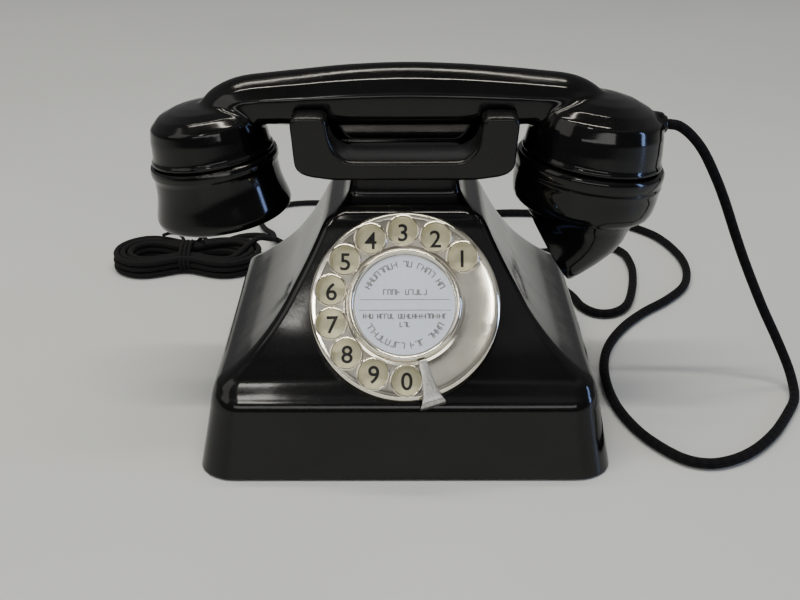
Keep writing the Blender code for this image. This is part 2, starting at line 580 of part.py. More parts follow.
def make_mouthpiece():
    """A screw cap that narrows into a horn with its mouth turned inwards."""
    outer = [disc_ring(30.4, -0.3), disc_ring(31.4, -1.2), disc_ring(31.7, -4.4), disc_ring(31.4, -6.4),
             disc_ring(31.2, -9.0), disc_ring(31.0, -14.0), disc_ring(30.2, -19.0), disc_ring(27.6, -22.2),
             ((52.2, 87.6), (98.4, 80.0), 24.2), ((53.0, 86.4), (95.2, 74.0), 22.6),
             ((53.6, 85.6), (89.6, 66.8), 20.8), ((54.0, 85.0), (81.6, 60.2), 19.6),
             ((54.2, 84.4), (73.0, 54.6), 18.8)]
    inner = [((56.2, 82.6), (71.9, 57.0), 16.2), ((57.0, 83.4), (78.0, 63.6), 16.8),
             ((57.6, 84.2), (85.0, 71.0), 18.0), ((57.4, 86.4), (93.0, 80.6), 20.4),
             disc_ring(20.0, -17.0), disc_ring(3.0, -16.2), disc_ring(3.0, -13.6), disc_ring(24.0, -13.6),
             disc_ring(26.4, -11.0), disc_ring(26.4, -0.3)]
    rings = [horn_ring(*row) for row in outer + inner]
    bm = bmesh.new()
    rows = [[bm.verts.new(point) for point in ring] for ring in rings]
    for low, high in zip(rows, rows[1:] + rows[:1]):
        for i in range(len(low)):
            j = (i + 1) % len(low)
            bm.faces.new((low[i], low[j], high[j], high[i]))
    add_mesh("mouthpiece", bm, BAKELITE)


def make_transmitter_parts():
    turned("transmitter_capsule", [(0, 12.6), (18.0, 12.6), (24.6, 8.0), (24.6, -8.0), (20.0, -10.6),
                                   (0, -10.6)], STEEL, TRANSMITTER_FRAME, 20)


# ---------------------------------------------------------------- parts on the base plate

def make_base_parts():
    rounded_box("terminal_block", (0, 38.0, 9.2), (60.0, 16.0, 9.0), BAKELITE, 1.5)
    for index in range(3):
        turned("terminal_screw_%d" % (index + 1),
               [(0, 14.0), (3.0, 14.0), (3.0, 15.6), (2.2, 16.4), (0, 16.4)],
               BRASS, Matrix.Translation(Vector((-18.0 + 18.0 * index, 38.0, 0)) * MM), 16)
    rounded_box("induction_coil_core", (-44.0, 0, 16.0), (7.0, 56.0, 7.0), STEEL, 0.8)
    frame = Matrix.Translation(Vector((-44.0, 0, 16.0)) * MM) @ Matrix.Rotation(math.pi / 2, 4, "X")
    turned("induction_coil", [(5.6, -20.0), (10.4, -20.0), (10.4, 20.0), (5.6, 20.0)], FIBRE, frame, 24)
    rounded_box("capacitor", (44.0, 4.0, 16.0), (22.0, 46.0, 20.0), STEEL, 2.0)


def bush(name, place, bore, neck):
    """A cord bush in the rear wall, along Y."""
    frame = (Matrix.Translation(Vector((place[0], 0, place[2])) * MM)
             @ Matrix.Rotation(-math.pi / 2, 4, "X"))
    rear = rear_wall_y(place[2])
    turned(name, [(bore, rear - 5.5), (neck, rear - 5.5), (neck, rear + 1.5), (neck + 1.2, rear + 1.5),
                  (neck + 1.0, rear + 3.0), (bore, rear + 3.0)], RUBBER, frame, 20)


def rear_wall_y(z):
    share = (z - RIM_Z) / (SHOULDER_Z - RIM_Z)
    return RIM_BACK + (SHOULDER_BACK - RIM_BACK) * share


# ---------------------------------------------------------------- cords

HANDSET_CORD_ROUTE = [
    (127.0, 1.6, 110.6), (133.8, 3.6, 98.6), (139.3, 4.6, 87.0), (145.2, 4.6, 72.6), (151.6, 4.0, 57.6),
    (160.8, 2.6, 38.0), (168.6, 1.0, 23.0), (174.4, -3.0, 10.6), (175.8, -10.0, 4.2), (173.6, -20.0, 2.5),
    (167.8, -31.0, 2.3), (157.4, -47.6, 2.3), (145.7, -61.0, 2.3), (134.5, -69.0, 2.3), (124.1, -71.9, 2.3),
    (114.5, -68.6, 2.3), (106.0, -58.6, 2.3), (99.1, -45.5, 2.3), (93.9, -27.3, 2.3), (92.3, -7.5, 2.3),
    (93.9, 13.7, 2.3), (99.3, 33.2, 2.3), (108.7, 51.6, 2.3), (121.8, 68.8, 2.3), (137.2, 84.4, 2.3),
    (149.6, 101.3, 2.3), (155.7, 120.6, 2.3), (156.7, 141.0, 2.3), (152.6, 162.5, 2.3), (145.0, 179.0, 2.3),
    (128.0, 196.0, 2.3), (104.0, 207.5, 2.3), (81.2, 211.5, 2.3), (56.3, 211.5, 2.3), (30.0, 204.0, 2.3),
    (14.0, 188.0, 2.3), (14.0, 168.0, 2.3), (30.0, 154.0, 2.3), (56.0, 147.0, 2.3), (85.0, 150.5, 2.3),
    (103.0, 158.5, 2.3), (117.0, 158.5, 2.3), (125.0, 148.0, 2.3), (126.6, 133.0, 2.3),
    (125.6, 119.0, 2.3), (121.7, 98.3, 2.3), (115.6, 79.0, 2.3), (107.4, 69.6, 2.3), (98.6, 69.0, 2.3),
    (92.0, 77.0, 2.3), (88.4, 90.0, 2.3), (82.0, 103.0, 2.4), (71.0, 108.6, 3.4), (61.0, 103.0, 6.2),
    (58.0, 94.0, 8.6), (58.0, 81.1, 9.0)]

HANDSET_TAIL_ROUTE = [(110.5, 0.0, 123.5), (115.0, 0.1, 122.6), (120.6, 0.6, 118.4), (126.83, 1.55, 110.9)]

LINE_LEAD_ROUTE = [
    (-50.0, 81.1, 9.0), (-50.0, 92.0, 8.0), (-51.0, 106.0, 4.0), (-55.0, 124.0, 1.8), (-62.0, 146.0, 1.8),
    (-72.0, 166.0, 1.8), (-86.0, 178.0, 1.8), (-99.0, 174.6, 2.4), (-107.0, 163.4, 6.0)]

LINE_TAIL_ROUTE = [
    (-77.6, 146.0, 5.0), (-75.6, 158.0, 2.4), (-79.6, 172.0, 5.4), (-86.0, 190.0, 1.8), (-88.2, 204.0, 1.8),
    (-84.0, 220.0, 1.8), (-73.0, 229.6, 1.8), (-54.0, 232.6, 1.8), (-34.0, 224.0, 1.8), (-22.0, 206.0, 1.8),
    (-22.0, 184.0, 1.8), (-22.0, 158.3, 5.0)]


def make_cords():
    tube("handset_cord", HANDSET_CORD_ROUTE, HANDSET_CORD_DIAMETER, BRAID, 2, 76)
    tube("handset_cord_tail", HANDSET_TAIL_ROUTE, HANDSET_CORD_DIAMETER, BRAID, 2, 8)
    tube("line_cord_lead", LINE_LEAD_ROUTE, LINE_CORD_DIAMETER, BRAID, 2, 18)
    tube("line_cord_tail", LINE_TAIL_ROUTE, LINE_CORD_DIAMETER, BRAID, 2, 28)
    outline = []
    for k in range(32):
        angle = 2 * math.pi * k / 32
        pinch = 1.0 - 0.42 * math.exp(-(math.cos(angle) * 2.6) ** 2)
        outline.append((HANK_CENTRE[0] + HANK_LENGTH / 2 * math.cos(angle),
                        HANK_CENTRE[1] + HANK_WIDTH / 2 * math.sin(angle) * pinch))
    prism("line_cord_hank", outline, 0.2, HANK_HEIGHT, BRAID)


def make_plug():
    body = rounded_box("line_plug", (-22.0, 142.0, 5.6), (20.0, 32.0, 11.0), BAKELITE, 4.0)
    for index, (x, z) in enumerate(((-28.0, 5.6), (-16.0, 5.6))):
        boolean(body, loft("plug_pin_socket_%d" % index, along_y(2.0, (x, z), 120.0, 134.0, 12), STEEL))
        pin = along_y(1.7, (x, z), 112.0, 133.6, 12)
        loft("plug_pin_%d" % (index + 1), pin, BRASS)


def main():
    clear_scene()
    make_case()
    make_base()
    make_cradle()
    make_hook_switch()
    make_dial()
    make_dial_works()
    make_finger_stop()
    make_handset()
    make_receiver_parts()
    make_mouthpiece()
    make_transmitter_parts()
    make_base_parts()
    bush("handset_cord_bush", HANDSET_EXIT, 2.6, 4.0)
    bush("line_cord_bush", LINE_EXIT, 2.0, 3.5)
    make_cords()
    make_plug()


main()
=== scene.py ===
"""Looks of the rotary telephone: camera, light, cords, fine shapes and materials.
"""

import json
import math
import random

import bmesh
import bpy
from mathutils import Matrix, Vector
from mathutils.bvhtree import BVHTree


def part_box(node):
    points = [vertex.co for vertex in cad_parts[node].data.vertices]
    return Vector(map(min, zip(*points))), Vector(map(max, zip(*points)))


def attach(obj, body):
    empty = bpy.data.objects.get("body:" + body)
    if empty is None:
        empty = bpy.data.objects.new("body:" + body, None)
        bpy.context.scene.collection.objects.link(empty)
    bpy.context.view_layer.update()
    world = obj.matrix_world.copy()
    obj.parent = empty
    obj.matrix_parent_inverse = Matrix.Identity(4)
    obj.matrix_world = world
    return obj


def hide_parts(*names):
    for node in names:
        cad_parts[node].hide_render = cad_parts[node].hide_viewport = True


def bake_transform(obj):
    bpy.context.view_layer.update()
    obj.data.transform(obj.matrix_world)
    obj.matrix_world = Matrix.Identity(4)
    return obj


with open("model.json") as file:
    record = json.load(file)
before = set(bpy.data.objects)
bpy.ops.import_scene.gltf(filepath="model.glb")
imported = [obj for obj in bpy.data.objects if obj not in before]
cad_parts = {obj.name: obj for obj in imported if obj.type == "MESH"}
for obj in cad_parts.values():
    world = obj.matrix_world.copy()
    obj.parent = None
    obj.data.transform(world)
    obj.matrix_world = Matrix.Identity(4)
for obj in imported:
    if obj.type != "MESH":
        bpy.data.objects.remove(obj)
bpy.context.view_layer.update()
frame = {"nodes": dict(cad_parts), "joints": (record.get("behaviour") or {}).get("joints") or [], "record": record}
MM = 0.001
TAU = 2.0 * math.pi


def turned_frame(place, angle, axis):
    """A frame at a place in millimetres, turned by an angle about one axis."""
    return Matrix.Translation(Vector(place) * MM) @ Matrix.Rotation(angle, 4, axis)


DIAL_JOINT = next(joint for joint in frame["joints"] if joint["name"] == "dial_turn")
DIAL_CENTRE = Vector(DIAL_JOINT["pos_m"]) / MM
DIAL_LEAN = math.atan2(-DIAL_JOINT["axis"][2], DIAL_JOINT["axis"][1])
END_TILT = math.radians(8.0)
TRANSMITTER = (79.0, 0.0, 109.5)
DIAL_FRAME = turned_frame(DIAL_CENTRE, math.pi / 2 - DIAL_LEAN, "X")
RECEIVER_FRAME = turned_frame((-81.0, 0.0, 111.0), -END_TILT, "Y")
TRANSMITTER_FRAME = turned_frame(TRANSMITTER, END_TILT, "Y")
GLAND_FRAME = turned_frame((0.0, 0.0, 123.5), math.pi / 2, "Y")
FACE_DEPTH = 9.6
WALL = 3.0
HOLE_PITCH_RADIUS = 30.0
HOLE_TURNS = [math.radians(40.0 + 25.7 * k) for k in range(10)]


# ---------------------------------------------------------------- node materials

def fill_ramp(ramp, stops):
    """Set a colour ramp's stops from (position, colour) pairs."""
    elements = ramp.color_ramp.elements
    while len(elements) < len(stops):
        elements.new(0.5)
    for element, (position, color) in zip(elements, stops):
        element.position = position
        element.color = tuple(color) + (1.0,)


class Look:
    """A Principled material with short calls for procedural maps."""

    def __init__(self, name, color, roughness, metallic=0.0, **extra):
        self.material = bpy.data.materials.new(name)
        self.material.use_nodes = True
        self.tree = self.material.node_tree
        self.shader = self.tree.nodes["Principled BSDF"]
        self.shader.inputs["Base Color"].default_value = tuple(color) + (1.0,)
        self.shader.inputs["Roughness"].default_value = roughness
        self.shader.inputs["Metallic"].default_value = metallic
        for key, value in extra.items():
            self.shader.inputs[key.replace("_", " ")].default_value = value
        self.bumps = []

    def add(self, kind, **settings):
        made = self.tree.nodes.new("ShaderNode" + kind)
        for key, value in settings.items():
            setattr(made, key, value)
        return made

    def link(self, source, target):
        self.tree.links.new(source, target)

    def coordinates(self, stretch=(1.0, 1.0, 1.0), uv=False):
        """Object coordinates in metres, or UV, stretched per axis."""
        place = self.add("TexCoord").outputs["UV" if uv else "Object"]
        mapping = self.add("Mapping")
        mapping.inputs["Scale"].default_value = stretch
        self.link(place, mapping.inputs["Vector"])
        return mapping.outputs["Vector"]

    def noise(self, scale, detail=3.0, stretch=(1.0, 1.0, 1.0), uv=False, roughness=0.55):
        made = self.add("TexNoise")
        made.inputs["Scale"].default_value = scale
        made.inputs["Detail"].default_value = detail
        made.inputs["Roughness"].default_value = roughness
        self.link(self.coordinates(stretch, uv), made.inputs["Vector"])
        return made.outputs["Fac"]

    def spread(self, source, low, high, start=0.35, end=0.65):
        """Map a texture's middle range to low..high."""
        made = self.add("MapRange")
        for key, value in (("From Min", start), ("From Max", end), ("To Min", low), ("To Max", high)):
            made.inputs[key].default_value = value
        self.link(source, made.inputs["Value"])
        return made.outputs["Result"]

    def math(self, operation, *operands):
        made = self.add("Math", operation=operation)
        for slot, value in zip(made.inputs, operands):
            if isinstance(value, (int, float)):
                slot.default_value = value
            else:
                self.link(value, slot)
        return made.outputs[0]

    def colors(self, source, stops):
        """A colour ramp on a value, wired to the base colour."""
        ramp = self.add("ValToRGB")
        fill_ramp(ramp, stops)
        self.link(source, ramp.inputs["Fac"])
        self.link(ramp.outputs["Color"], self.shader.inputs["Base Color"])

    def rough(self, source):
        self.link(source, self.shader.inputs["Roughness"])

    def bump(self, source, height, strength=1.0):
        """Add one layer of relief, height in metres."""
        made = self.add("Bump")
        made.inputs["Distance"].default_value = height
        made.inputs["Strength"].default_value = strength
        self.link(source, made.inputs["Height"])
        if self.bumps:
            self.link(self.bumps[-1].outputs["Normal"], made.inputs["Normal"])
        self.bumps.append(made)
        self.link(made.outputs["Normal"], self.shader.inputs["Normal"])


def bakelite_look(name, color, sheen_low, sheen_high):
    """Polished black moulding: faint mottling, wipe marks, dust specks and soft relief."""
    look = Look(name, color, 0.12, Specular_IOR_Level=0.34)
    mottle = look.noise(45.0, 5.0)
    look.colors(mottle, [(0.3, [c * 0.7 for c in color]), (0.7, [c * 1.4 for c in color])])
    wipes = look.noise(26.0, 6.0, (1.0, 5.0, 1.6))
    dust = look.spread(look.noise(1500.0, 2.0), 0.0, 0.22, 0.66, 0.74)
    look.rough(look.math("ADD", look.spread(wipes, sheen_low, sheen_high), dust))
    look.bump(look.noise(70.0, 2.0), 0.00005)
    look.bump(look.noise(900.0, 2.0), 0.000006)
    return look


def metal_look(name, color, tarnish, low, high, scale=60.0, stretch=(1.0, 1.0, 1.0), relief=0.00001):
    """Plated or plain metal: patchy tarnish, uneven polish and fine brushing."""
    look = Look(name, color, low, 1.0)
    patches = look.noise(scale, 6.0, stretch, roughness=0.6)
    look.colors(patches, [(0.36, tarnish), (0.62, color)])
    look.rough(look.spread(look.noise(scale * 3.1, 6.0, stretch), high, low))
    look.bump(look.noise(scale * 12.0, 3.0, stretch), relief)
    return look


def matte_look(name, dark, light, low, high, scale=300.0, relief=0.00002):
    """Card, fibre, rubber or enamel: fine grain in colour, sheen and relief."""
    look = Look(name, light, high)
    look.colors(look.noise(scale, 5.0), [(0.35, dark), (0.65, light)])
    look.rough(look.spread(look.noise(scale * 0.4, 3.0), low, high))
    look.bump(look.noise(scale * 2.0, 3.0), relief)
    return look


def braid_look(name, dark, light, pitch_u, pitch_v, relief):
    """Woven cord cover: two crossing families of yarns in UV space, with soft fuzz; the colour carries painted
    shade in the hollows between yarns and painted highlight on their crests.
    """
    look = Look(name, dark, 0.85, Sheen_Weight=0.02, Sheen_Roughness=0.5, Specular_IOR_Level=0.12)
    split = look.add("SeparateXYZ")
    look.link(look.coordinates((pitch_u, pitch_v, 1.0), True), split.inputs[0])
    along, around = split.outputs[0], split.outputs[1]
    one = look.math("SINE", look.math("MULTIPLY", look.math("ADD", along, around), TAU))
    two = look.math("SINE", look.math("MULTIPLY", look.math("SUBTRACT", along, around), TAU))
    weave = look.math("MULTIPLY", one, two)
    yarn = look.math("MULTIPLY", look.math("ADD", weave, 1.0), 0.5)
    fuzz = look.noise(2200.0, 3.0)
    # Painted shade and highlight: the colour follows the yarn relief, darker in the hollows between yarns and
    # lighter on their crests; the fuzz adds random tone.
    weave_shade_and_fuzz = look.math("ADD", look.math("MULTIPLY", yarn, 0.7), look.math("MULTIPLY", fuzz, 0.5))
    look.colors(weave_shade_and_fuzz, [(0.15, dark), (0.95, light)])
    look.rough(look.spread(fuzz, 0.75, 0.95))
    look.bump(yarn, relief)
    look.bump(fuzz, relief * 0.4)
    return look


BAKELITE = bakelite_look("bakelite_black", (0.0034, 0.0034, 0.0036), 0.07, 0.14)
CRADLE_BAKELITE = bakelite_look("bakelite_cradle", (0.0040, 0.0039, 0.0038), 0.15, 0.25)
NICKEL = metal_look("nickel_plate", (0.90, 0.86, 0.74), (0.82, 0.76, 0.62), 0.07, 0.15, 40.0)
STEEL = metal_look("satin_steel", (0.56, 0.56, 0.55), (0.40, 0.39, 0.37), 0.28, 0.42, 90.0, (1, 4, 1))
STOP_STEEL = metal_look("stop_steel", (0.60, 0.60, 0.58), (0.42, 0.41, 0.39), 0.26, 0.40, 240.0, (1, 6, 1))
BRASS = metal_look("brass_works", (0.72, 0.55, 0.28), (0.46, 0.32, 0.16), 0.25, 0.45, 120.0)
ENAMEL = matte_look("cream_enamel", (0.74, 0.72, 0.48), (0.86, 0.84, 0.60), 0.22, 0.34, 160.0, 0.000004)
CARD = matte_look("label_paper", (0.70, 0.79, 0.96), (0.78, 0.86, 1.0), 0.55, 0.7, 900.0, 0.000008)
INK = matte_look("black_ink", (0.004, 0.004, 0.005), (0.010, 0.010, 0.011), 0.4, 0.55, 900.0, 0.000004)
RUBBER = matte_look("black_rubber", (0.014, 0.014, 0.015), (0.028, 0.028, 0.03), 0.6, 0.8, 500.0)
FIBRE = matte_look("brown_fibre", (0.14, 0.07, 0.035), (0.27, 0.14, 0.07), 0.5, 0.7, 350.0)
BRAID = braid_look("cotton_braid", (0.001, 0.001, 0.0014), (0.0075, 0.0075, 0.0095), 0.5, 8.0, 0.00022)
FLEX = braid_look("line_flex", (0.004, 0.004, 0.0045), (0.014, 0.014, 0.015), 1.1, 6.0, 0.00004)
WINDOW = Look("clear_window", (0.95, 0.96, 0.97), 0.05, Alpha=0.12, IOR=1.46)
WINDOW.rough(WINDOW.spread(WINDOW.noise(220.0, 4.0), 0.03, 0.12))
CAD_LOOKS = {"bakelite": BAKELITE, "nickel": NICKEL, "steel": STEEL, "brass": BRASS, "enamel": ENAMEL,
             "card": CARD, "clear": WINDOW, "rubber": RUBBER, "fibre": FIBRE, "braid": BRAID}


# ---------------------------------------------------------------- mesh helpers

def add_object(name, bm, look, place=None, angle=40.0):
    """A bmesh in millimetres becomes a smooth shaded object in metres."""
    bmesh.ops.recalc_face_normals(bm, faces=bm.faces)
    bmesh.ops.scale(bm, vec=(MM, MM, MM), verts=bm.verts)
    mesh = bpy.data.meshes.new(name)
    bm.to_mesh(mesh)
    bm.free()
    mesh.shade_smooth()
    mesh.set_sharp_from_angle(angle=math.radians(angle))
    obj = bpy.data.objects.new(name, mesh)
    bpy.context.scene.collection.objects.link(obj)
    mesh.materials.append(look.material)
    if place is not None:
        obj.matrix_world = place
    return obj


def skin(rings, closed_loop=False, caps=True):
    """A bmesh through rings of equal point counts."""
    bm = bmesh.new()
    rows = [[bm.verts.new(point) for point in ring] for ring in rings]
    count = len(rows[0])
    pairs = list(zip(rows, rows[1:]))
    if closed_loop:
        pairs.append((rows[-1], rows[0]))
    for low, high in pairs:
        for i in range(count):
            j = (i + 1) % count
            bm.faces.new((low[i], low[j], high[j], high[i]))
    if caps and not closed_loop:
        bm.faces.new(rows[0])
        bm.faces.new(rows[-1])
    return bm


def fillet(profile, radii, steps=4):
    """Round the corners of an open profile; radii maps a point's index to its radius."""
    result = []
    for i, point in enumerate(profile):
        radius = radii.get(i, 0.0)
        if radius <= 0.0 or i in (0, len(profile) - 1):
            result.append(point)
            continue
        here = Vector(point)
        before, after = Vector(profile[i - 1]) - here, Vector(profile[i + 1]) - here
        half = before.angle(after) / 2
        reach = min(radius / math.tan(half), before.length * 0.48, after.length * 0.48)
        first, last = here + before.normalized() * reach, here + after.normalized() * reach
        for k in range(steps + 1):
            t = k / steps
            result.append(tuple(first * (1 - t) ** 2 + here * 2 * t * (1 - t) + last * t * t))
    return result


def lathe_mesh(profile, segments):
    """A bmesh turned about Z from (radius, height) points; a profile off the axis closes on itself."""
    bm = bmesh.new()
    rows = []
    for radius, height in profile:
        if radius < 1e-6:
            rows.append([bm.verts.new((0, 0, height))])
        else:
            rows.append([bm.verts.new((radius * math.cos(TAU * k / segments),
                                       radius * math.sin(TAU * k / segments), height))
                         for k in range(segments)])
    pairs = list(zip(rows, rows[1:]))
    if len(rows[0]) > 1 and len(rows[-1]) > 1:
        pairs.append((rows[-1], rows[0]))
    for low, high in pairs:
        for k in range(segments):
            n = (k + 1) % segments
            corners = [low[k % len(low)], low[n % len(low)], high[n % len(high)], high[k % len(high)]]
            unique = list(dict.fromkeys(corners))
            if len(unique) > 2:
                bm.faces.new(unique)
    return bm


def lathe(name, profile, look, place, segments=96, angle=40.0):
    return add_object(name, lathe_mesh(profile, segments), look, place, angle)


def rod(name, radius, low, high, look, place, segments=96):
    """A plain round tool from low to high along its frame's Z."""
    return lathe(name, [(0, low), (radius, low), (radius, high), (0, high)], look, place, segments)


def outline_solid(points, low, high, axis="Z"):
    """A bmesh: an outline extruded from low to high along an axis."""
    order = {"Z": lambda p, h: (p[0], p[1], h), "Y": lambda p, h: (p[0], h, p[1]),
             "X": lambda p, h: (h, p[0], p[1])}[axis]
    return skin([[order(p, low) for p in points], [order(p, high) for p in points]])


def rounded_rectangle(half_width, front, back, radius, steps, side_steps=1):
    """An outline with round corners; its straight sides may be divided so that shading stays even."""
    corners = ((half_width - radius, front + radius, -90.0), (half_width - radius, back - radius, 0.0),
               (-half_width + radius, back - radius, 90.0), (-half_width + radius, front + radius, 180.0))
    arcs = [[Vector((cx + radius * math.cos(math.radians(start + 90.0 * k / steps)),
                     cy + radius * math.sin(math.radians(start + 90.0 * k / steps))))
             for k in range(steps + 1)] for cx, cy, start in corners]
    points = []
    for arc, following in zip(arcs, arcs[1:] + arcs[:1]):
        points += arc
        points += [arc[-1].lerp(following[0], k / side_steps) for k in range(1, side_steps)]
    return points


def baked(obj, angle=40.0):
    """Replace an object's mesh with its evaluated mesh and drop the modifiers."""
    bpy.context.view_layer.update()
    evaluated = obj.evaluated_get(bpy.context.evaluated_depsgraph_get())
    mesh = bpy.data.meshes.new_from_object(evaluated)
    obj.modifiers.clear()
    obj.data = mesh
    mesh.shade_smooth()
    mesh.set_sharp_from_angle(angle=math.radians(angle))
    return obj


def carve(obj, tools, operation="DIFFERENCE", angle=40.0):
    """Apply exact Booleans with tool objects, which are removed afterwards."""
    for tool in tools:
        modifier = obj.modifiers.new("carve", "BOOLEAN")
        modifier.operation = operation
        modifier.solver = "EXACT"
        modifier.object = tool
    baked(obj, angle)
    for tool in tools:
        bpy.data.objects.remove(tool, do_unlink=True)
    return obj


def round_edges(obj, width, segments, angle):
    """Add a bevel, width in millimetres, to edges sharper than an angle in degrees."""
    bevel = obj.modifiers.new("rim", "BEVEL")
    bevel.width = width * MM
    bevel.segments = segments
    bevel.limit_method = "ANGLE"
    bevel.angle_limit = math.radians(angle)
    return bevel


def joined(objects, name):
    """One object from several that share a look."""
    bm = bmesh.new()
    for obj in objects:
        mesh = obj.data.copy()
        mesh.transform(obj.matrix_world)
        bm.from_mesh(mesh)
        bpy.data.meshes.remove(mesh)
    materials = list(objects[0].data.materials)
    mesh = bpy.data.meshes.new(name)
    bm.to_mesh(mesh)
    bm.free()
    mesh.shade_smooth()
    mesh.set_sharp_from_angle(angle=math.radians(40.0))
    for material in materials:
        mesh.materials.append(material)
    for obj in objects:
        bpy.data.objects.remove(obj, do_unlink=True)
    result = bpy.data.objects.new(name, mesh)
    bpy.context.scene.collection.objects.link(result)
    return result


def spline_point(a, b, c, d, t):
    """A point between b and c on the smooth curve through four points."""
    return 0.5 * (2 * b + (c - a) * t + (2 * a - 5 * b + 4 * c - d) * t * t
                  + (3 * b - a - 3 * c + d) * t ** 3)


def curve_through(points, step):
    """Evenly spaced points, step millimetres apart, on a smooth curve through the given points."""
    knots = [Vector(p) for p in points]
    knots = [knots[0] * 2 - knots[1]] + knots + [knots[-1] * 2 - knots[-2]]
    fine = []
    for i in range(1, len(knots) - 2):
        fine += [spline_point(*knots[i - 1:i + 3], k / 16.0) for k in range(16)]
    fine.append(knots[-2])
    total = sum((q - p).length for p, q in zip(fine, fine[1:]))
    count = max(2, round(total / step))
    spacing = total / count
    result, travelled, target = [fine[0]], 0.0, spacing
    for p, q in zip(fine, fine[1:]):
        length = (q - p).length
        while length > 0 and travelled + length >= target - 1e-9 and len(result) < count:
            result.append(p.lerp(q, (target - travelled) / length))
            target += spacing
        travelled += length
    result.append(fine[-1])
    return result, total


def relaxed(path, rounds, keep=1):
    """Smooth a path without moving its first and last points."""
    points = [p.copy() for p in path]
    for _ in range(rounds):
        moved = [p.copy() for p in points]
        for i in range(keep, len(points) - keep):
            moved[i] = points[i] * 0.5 + (points[i - 1] + points[i + 1]) * 0.25
        points = moved
    return points


def tube(name, path, radius, sides, look):
    """A cord's skin along a path, with UV (diameters along, turns around); radius in millimetres."""
    bm = bmesh.new()
    uv_layer = bm.loops.layers.uv.new("UVMap")
    tangent = (path[1] - path[0]).normalized()
    side = tangent.cross(Vector((0, 0, 1)))
    side = side.normalized() if side.length > 0.1 else Vector((0, 1, 0))
    rows, travelled = [], [0.0]
    for i, point in enumerate(path):
        if i:
            travelled.append(travelled[-1] + (point - path[i - 1]).length)
        ahead = path[min(i + 1, len(path) - 1)] - path[max(i - 1, 0)]
        tangent = ahead.normalized()
        side = (side - tangent * side.dot(tangent)).normalized()
        up = side.cross(tangent)
        rows.append([bm.verts.new(point + side * (radius * math.cos(TAU * k / sides))
                                  + up * (radius * math.sin(TAU * k / sides)))
                     for k in range(sides)])
    for i, (low, high) in enumerate(zip(rows, rows[1:])):
        for k in range(sides):
            j = (k + 1) % sides
            face = bm.faces.new((low[k], low[j], high[j], high[k]))
            corners = ((i, k), (i, k + 1), (i + 1, k + 1), (i + 1, k))
            for loop, (row, turn) in zip(face.loops, corners):
                loop[uv_layer].uv = (travelled[row] / (2 * radius), turn / sides)
    bm.faces.new(rows[0])
    bm.faces.new(rows[-1])
    return add_object(name, bm, look, angle=60.0)


# ---------------------------------------------------------------- camera, floor and light

def set_camera():
    pitch, yaw, roll = math.radians(25.2), math.radians(-0.22), math.radians(0.2)
    forward = Vector((math.sin(yaw) * math.cos(pitch), math.cos(yaw) * math.cos(pitch), -math.sin(pitch)))
    right = Vector((math.cos(yaw), -math.sin(yaw), 0.0))
    down = forward.cross(right)
    level = right * math.cos(roll) + down * math.sin(roll)
    below = down * math.cos(roll) - right * math.sin(roll)
    data = bpy.data.cameras.new("photo_camera")
    data.lens = 54.0
    data.sensor_width = 36.0
    data.clip_start = 0.02
    camera = bpy.data.objects.new("photo_camera", data)
    axes = Matrix((level, -below, -forward)).transposed()
    camera.matrix_world = Matrix.Translation(Vector((-0.3, -486.0, 271.0)) * MM) @ axes.to_4x4()
    bpy.context.scene.collection.objects.link(camera)
    bpy.context.scene.camera = camera


def area_light(name, place, target, size, power, color):
    data = bpy.data.lights.new(name, "AREA")
    data.shape = "RECTANGLE"
    data.size, data.size_y = size
    data.energy = power
    data.color = color
    light = bpy.data.objects.new(name, data)
    light.location = place
    light.rotation_euler = (Vector(target) - Vector(place)).to_track_quat("-Z", "Y").to_euler()
    light.visible_camera = False
    bpy.context.scene.collection.objects.link(light)


def set_stage():
    bm = bmesh.new()
    bmesh.ops.create_grid(bm, x_segments=8, y_segments=8, size=4000.0)
    floor_look = Look("pale_table", (0.62, 0.64, 0.645), 0.42, Specular_IOR_Level=0.35)
    floor_look.colors(floor_look.noise(3.0, 2.0), [(0.3, (0.59, 0.61, 0.615)), (0.7, (0.64, 0.66, 0.665))])
    floor_look.bump(floor_look.noise(500.0, 2.0), 0.00002)
    floor = add_object("floor", bm, floor_look)
    floor.location = (0.0, 0.0, -0.0002)
    studio_world()
    area_light("tubes_front", (-0.15, -0.16, 1.6), (-0.15, -0.10, 0), (1.5, 0.07), 17.0, (1.0, 0.95, 0.84))
    area_light("tubes_back", (-0.15, 0.42, 1.6), (-0.15, 0.48, 0), (1.5, 0.07), 8.0, (1.0, 0.95, 0.84))
    area_light("glow_left", (-0.36, -1.30, 1.16), (0, 0, 0.05), (0.24, 0.20), 2.2, (1.0, 0.97, 0.90))
    area_light("front_low", (0.0, -1.5, 0.55), (0, -0.1, 0), (1.6, 0.25), 4.0, (1.0, 0.98, 0.96))
    area_light("window", (1.0, -0.20, 0.25), (0, 0, 0.08), (0.10, 0.40), 1.8, (0.36, 0.52, 1.0))
    area_light("fill_left", (-1.2, -0.5, 0.9), (0, 0, 0.05), (0.9, 0.9), 3.0, (1.0, 0.97, 0.92))


